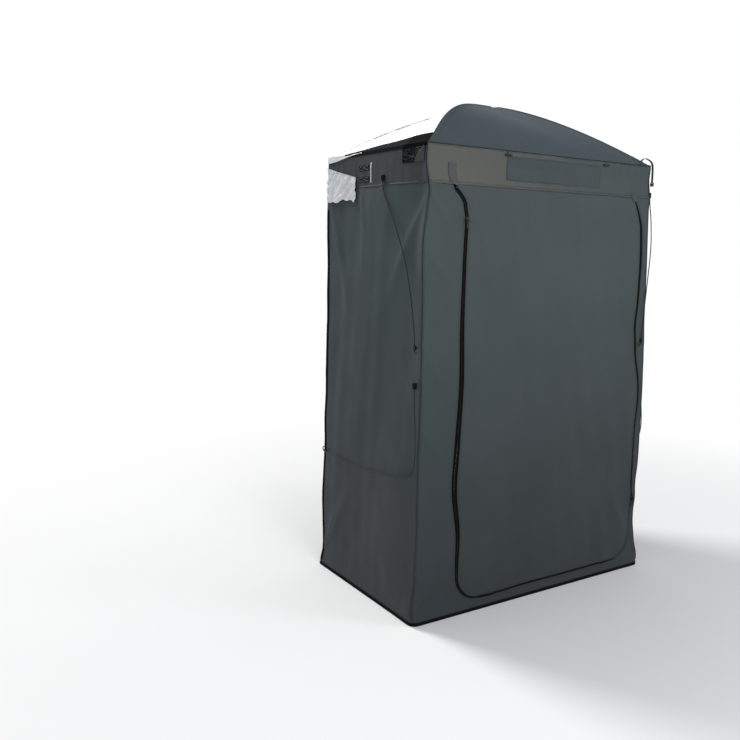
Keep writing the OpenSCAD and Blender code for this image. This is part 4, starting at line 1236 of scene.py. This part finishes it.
def sewn_pad(name, side, y0, y1, z0, z1, thick, webbing_name):
    """A doubled piece of webbing sewn flat to the side band, its edges rolled."""
    u, w = grid_of(np.linspace(0, 1, 20), np.linspace(0, 1, 16))
    y, z = y0 + (y1 - y0) * u, z0 + (z1 - z0) * w
    near = np.minimum(np.minimum(u, 1 - u) * abs(y1 - y0), np.minimum(w, 1 - w) * (z1 - z0))
    height = thick * step(-.0005, .0022, near) - 0.0005 * bell((near - .004) / .0012)
    grid = side_at(side, y, z, 0.0004)
    grid[..., 0] = side * (np.abs(grid[..., 0]) + height)
    pad = settle(cloth_sheet(name, grid, (side, 0, 0), 0.0016), M[webbing_name], webbing_name, "tent")
    lines = []
    for a, b, c, d in ((.07, .16, .93, .16), (.07, .84, .93, .84), (.07, .16, .07, .84), (.93, .16, .93, .84),
                       (.07, .16, .93, .84), (.07, .84, .93, .16)):
        t = np.linspace(0, 1, 24)
        line = side_at(side, y0 + (y1 - y0) * (a + (c - a) * t), z0 + (z1 - z0) * (b + (d - b) * t), 0.0004)
        line[:, 0] = side * (np.abs(line[:, 0]) + thick - 0.0002)
        lines.append((line, (side, 0, 0)))
    return pad, lines


pads, strips, tack_lines = [], [], []
for side, word in SIDES:
    for row, z in enumerate((BAND_Z + .027, BAND_Z + .078)):
        pad, lines = sewn_pad(f"strap_patch_{word}_{row}", side, .030, .130, z, z + .026, .0019,
                              "black_webbing")
        pads.append(pad)
        tack_lines += lines
    strips.append(sewn_pad(f"guide_strip_{word}", side, .007, .016, BAND_Z + .022, BAND_Z + .112, .0018,
                           "pale_webbing")[0])
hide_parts("strap_patches")
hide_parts("guide_strips")
sew("strap_patch_stitches", tack_lines, 0.0002, "thread_pale", "black_webbing", width=.0010)

# the dark strap at the front right corner, in an arc over the pole's pocket, and its buckle
arc = spline([(0, .590, -.437, 2.054), (.08, .596, -.437, 2.068), (.2, .606, -.437, 2.080),
              (.33, .625, -.437, 2.087),
              (.47, .647, -.437, 2.083), (.62, .669, -.436, 2.074), (.75, .683, -.434, 2.060),
              (.87, .689, -.432, 2.028),
              (1, .689, -.431, 1.970)], np.linspace(0, 1, 60))
side_on = np.tile((0, 1.0, 0), (len(arc), 1))
settle(ribbon("corner_strap", arc[::-1], side_on, 0.012, 0.0016, 0.0003), M["grey_webbing"], "black_webbing",
       "tent")
ring = []
for a in np.linspace(0, 2 * math.pi, 29):
    c, s = math.cos(a), math.sin(a)
    ring.append((.6885, -.431 + .009 * np.sign(c) * abs(c) ** .45, 1.963 + .008 * np.sign(s) * abs(s) ** .45))
bars = [tube("buckle_bar", [(.6885, -.440 + .006 * i, z) for i in range(4)], .0024, 8)
        for z in (1.9605, 1.9650)]
buckle = merged("corner_buckle", [tube("buckle_ring", ring, .0026, 8, False), *bars])
settle(buckle, M["moulded_black"], "moulded_black", "tent")

# ---------------------------------------------------------------- shock cords

CORD_D = 0.005
UPPER_LEFT = [(-679, -100, 1912), (-679, -100, 1900), (-680, -110, 1872), (-680, -128, 1840),
              (-681, -150, 1808), (-681, -174, 1776), (-682, -198, 1742), (-682, -222, 1706),
              (-683, -246, 1668), (-684, -270, 1628), (-684, -292, 1586), (-685, -312, 1542),
              (-686, -330, 1496), (-686, -346, 1448), (-687, -360, 1400), (-688, -373, 1350),
              (-689, -385, 1298), (-690, -394, 1250), (-690, -396, 1228), (-690, -396, 1216)]
UPPER_RIGHT = [(684, -426, 1896), (684, -426, 1884), (687, -429, 1840), (690, -434, 1790),
               (691, -437, 1740), (691, -440, 1690), (689, -442, 1640), (686, -442, 1590),
               (681, -442, 1540), (676, -442, 1490), (671, -442, 1440), (666, -442, 1390),
               (661, -442, 1340), (656, -442, 1290), (652, -442, 1240), (651, -442, 1205),
               (651, -442, 1193)]
LOWER_LEFT = [(-692, -404, 1030), (-692, -404, 1018), (-693, -407, 980), (-694, -412, 930),
              (-694, -417, 880), (-695, -421, 830), (-696, -424, 780), (-696, -423, 735), (-697, -416, 698),
              (-698, -400, 668), (-698, -374, 648), (-698, -330, 635), (-698, -270, 624), (-698, -200, 614),
              (-698, -120, 605), (-698, -40, 597), (-698, 40, 591), (-698, 115, 588), (-698, 190, 590),
              (-698, 270, 594), (-698, 330, 598), (-698, 370, 600), (-698, 382, 600)]
LOWER_RIGHT = [(-x, y, z) for x, y, z in LOWER_LEFT]
for name, route, lay in (("cord_upper_left", UPPER_LEFT, "taut"), ("cord_upper_right", UPPER_RIGHT, "taut"),
                         ("cord_lower_left", LOWER_LEFT, "hanging"),
                         ("cord_lower_right", LOWER_RIGHT, "hanging")):
    knots = np.array(route) / 1000
    run = run_of(knots)
    path = spline([(t, *k) for t, k in zip(run, knots)], np.linspace(0, run[-1], int(run[-1] / .010)))
    piece = settle(tube(f"{name}_braid", path, CORD_D / 2, 12), M["shock_cord"], "shock_cord", "tent", name)

# ---------------------------------------------------------------- frame pieces kept from the CAD

KEPT = {
    "fibreglass_pole": ["hem_rod_front", "hem_rod_left", "hem_rod_right", "roof_pole_a", "roof_pole_b"],
    "ferrule_metal": ["pole_ferrules"],
    "moulded_black": ["corner_hub_front_left", "corner_hub_front_right",
                      "corner_hub_rear_left", "corner_hub_rear_right", "pole_tie", "toggle_left",
                      "toggle_right"],
    "slider_metal": ["zip_slider_left", "zip_slider_right", "zip_puller_left", "zip_puller_right"],
    "hook_plastic": ["cord_hooks"],
    "black_webbing": ["cord_tabs"],
}
ROUNDED = {"slider_metal": 0.0016, "moulded_black": 0.0008, "black_webbing": 0.0022}
for material, names in KEPT.items():
    for name in names:
        obj = bpy.data.objects[name]
        for spot in obj.material_slots:
            spot.material = M[material]
        if material in ROUNDED and not name.startswith(("corner_hub", "pole_tie")):
            bevel = obj.modifiers.new("soft edges", "BEVEL")
            bevel.width = 0.0007 if name.startswith("zip_puller") else ROUNDED[material]
            bevel.segments = 2
            bevel.limit_method = "ANGLE"
            bevel.angle_limit = math.radians(40)

# the hem's corner pieces as they are moulded: a rounded bend with a rolled lip at each socket
ROD_IN, ROD_Z, BEND_R = 0.01105, 0.014, 0.020
for side, word in SIDES:
    corner_x, corner_y = half_w(ROD_Z) - ROD_IN, FRONT_Y + ROD_IN
    bend = [(corner_x - .034 + .0007 * i, corner_y) for i in range(20)]
    bend += [(corner_x - BEND_R + BEND_R * math.sin(a), corner_y + BEND_R - BEND_R * math.cos(a))
             for a in np.radians(np.linspace(0, 90, 16))]
    bend += [(corner_x, corner_y + .0207 + .0007 * i) for i in range(20)]
    run = np.linspace(0, 1, len(bend))
    lip = 0.0059 + 0.0010 * (bell((run - .03) / .035) + bell((run - .97) / .035))
    moulding = tube(f"hem_elbow_{word}_moulding", [(side * x, y, ROD_Z) for x, y in bend], lip, 18)
    settle(moulding, M["moulded_black"], "moulded_black", "tent", f"hem_elbow_{word}")

# ---------------------------------------------------------------- studio

FLOOR = 60                 # half the floor's width
corners = [(-FLOOR, -FLOOR, 0), (FLOOR, -FLOOR, 0), (FLOOR, FLOOR, 0), (-FLOOR, FLOOR, 0)]
floor = linked(mesh_from("floor", corners, [(0, 1, 2, 3)], False), "floor")
floor.location.z = -0.0005
floor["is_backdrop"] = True
material, tree, shader, coords = nodes_of("floor")
preset(shader, {"Base Color": (0.86, 0.86, 0.86, 1), "Roughness": 0.9, "Specular IOR Level": 0.1})
distance = add(tree, "ShaderNodeVectorMath", operation="LENGTH")
tree.links.new(coords, distance.inputs[0])
fade = add(tree, "ShaderNodeMapRange", {"From Min": 1.2, "From Max": 4.0}, interpolation_type="SMOOTHSTEP")
tree.links.new(distance.outputs["Value"], fade.inputs[0])
light_path = add(tree, "ShaderNodeLightPath")
seen = maths(tree, "MULTIPLY", fade.outputs[0], light_path.outputs["Is Camera Ray"])
white = add(tree, "ShaderNodeEmission", {"Color": (1, 1, 1, 1), "Strength": 1.0})
blend = add(tree, "ShaderNodeMixShader")
tree.links.new(seen, blend.inputs[0])
tree.links.new(shader.outputs[0], blend.inputs[1])
tree.links.new(white.outputs[0], blend.inputs[2])
out = next(n for n in tree.nodes if n.type == "OUTPUT_MATERIAL")
tree.links.new(blend.outputs[0], out.inputs["Surface"])
floor.data.materials.append(material)

world = bpy.data.worlds.new("world")
bpy.context.scene.world = world
world.use_nodes = True
tree = world.node_tree
background = tree.nodes["Background"]
background.inputs["Color"].default_value = (0.93, 0.96, 1.0, 1)
background.inputs["Strength"].default_value = 0.46
plain = add(tree, "ShaderNodeBackground", {"Color": (1, 1, 1, 1), "Strength": 1.0})
rays = add(tree, "ShaderNodeLightPath")
pick = add(tree, "ShaderNodeMixShader")
tree.links.new(rays.outputs["Is Camera Ray"], pick.inputs[0])
tree.links.new(background.outputs[0], pick.inputs[1])
tree.links.new(plain.outputs[0], pick.inputs[2])
tree.links.new(pick.outputs[0], tree.nodes["World Output"].inputs["Surface"])


def area_light(name, at, towards, size, power, colour=(1, 1, 1)):
    data = bpy.data.lights.new(name, "AREA")
    data.shape = "DISK"
    data.size = size
    data.energy = power
    data.color = colour
    lamp = bpy.data.objects.new(name, data)
    lamp.location = at
    lamp.rotation_euler = (Vector(towards) - Vector(at)).to_track_quat("-Z", "Y").to_euler()
    bpy.context.scene.collection.objects.link(lamp)


area_light("sun behind", (-1.6, 3.6, 6.2), (0, 0, 2.0), 1.8, 300, (1.0, 0.985, 0.96))
area_light("sky front", (-1.2, -5.8, 4.0), (0, 0, 1.2), 3.2, 150, (0.97, 0.985, 1.0))
area_light("sky right", (3.6, -4.6, 3.2), (0, 0, 1.2), 2.2, 70, (0.98, 0.99, 1.0))

view = bpy.context.scene.view_settings
view.view_transform = "Standard"

low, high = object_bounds()
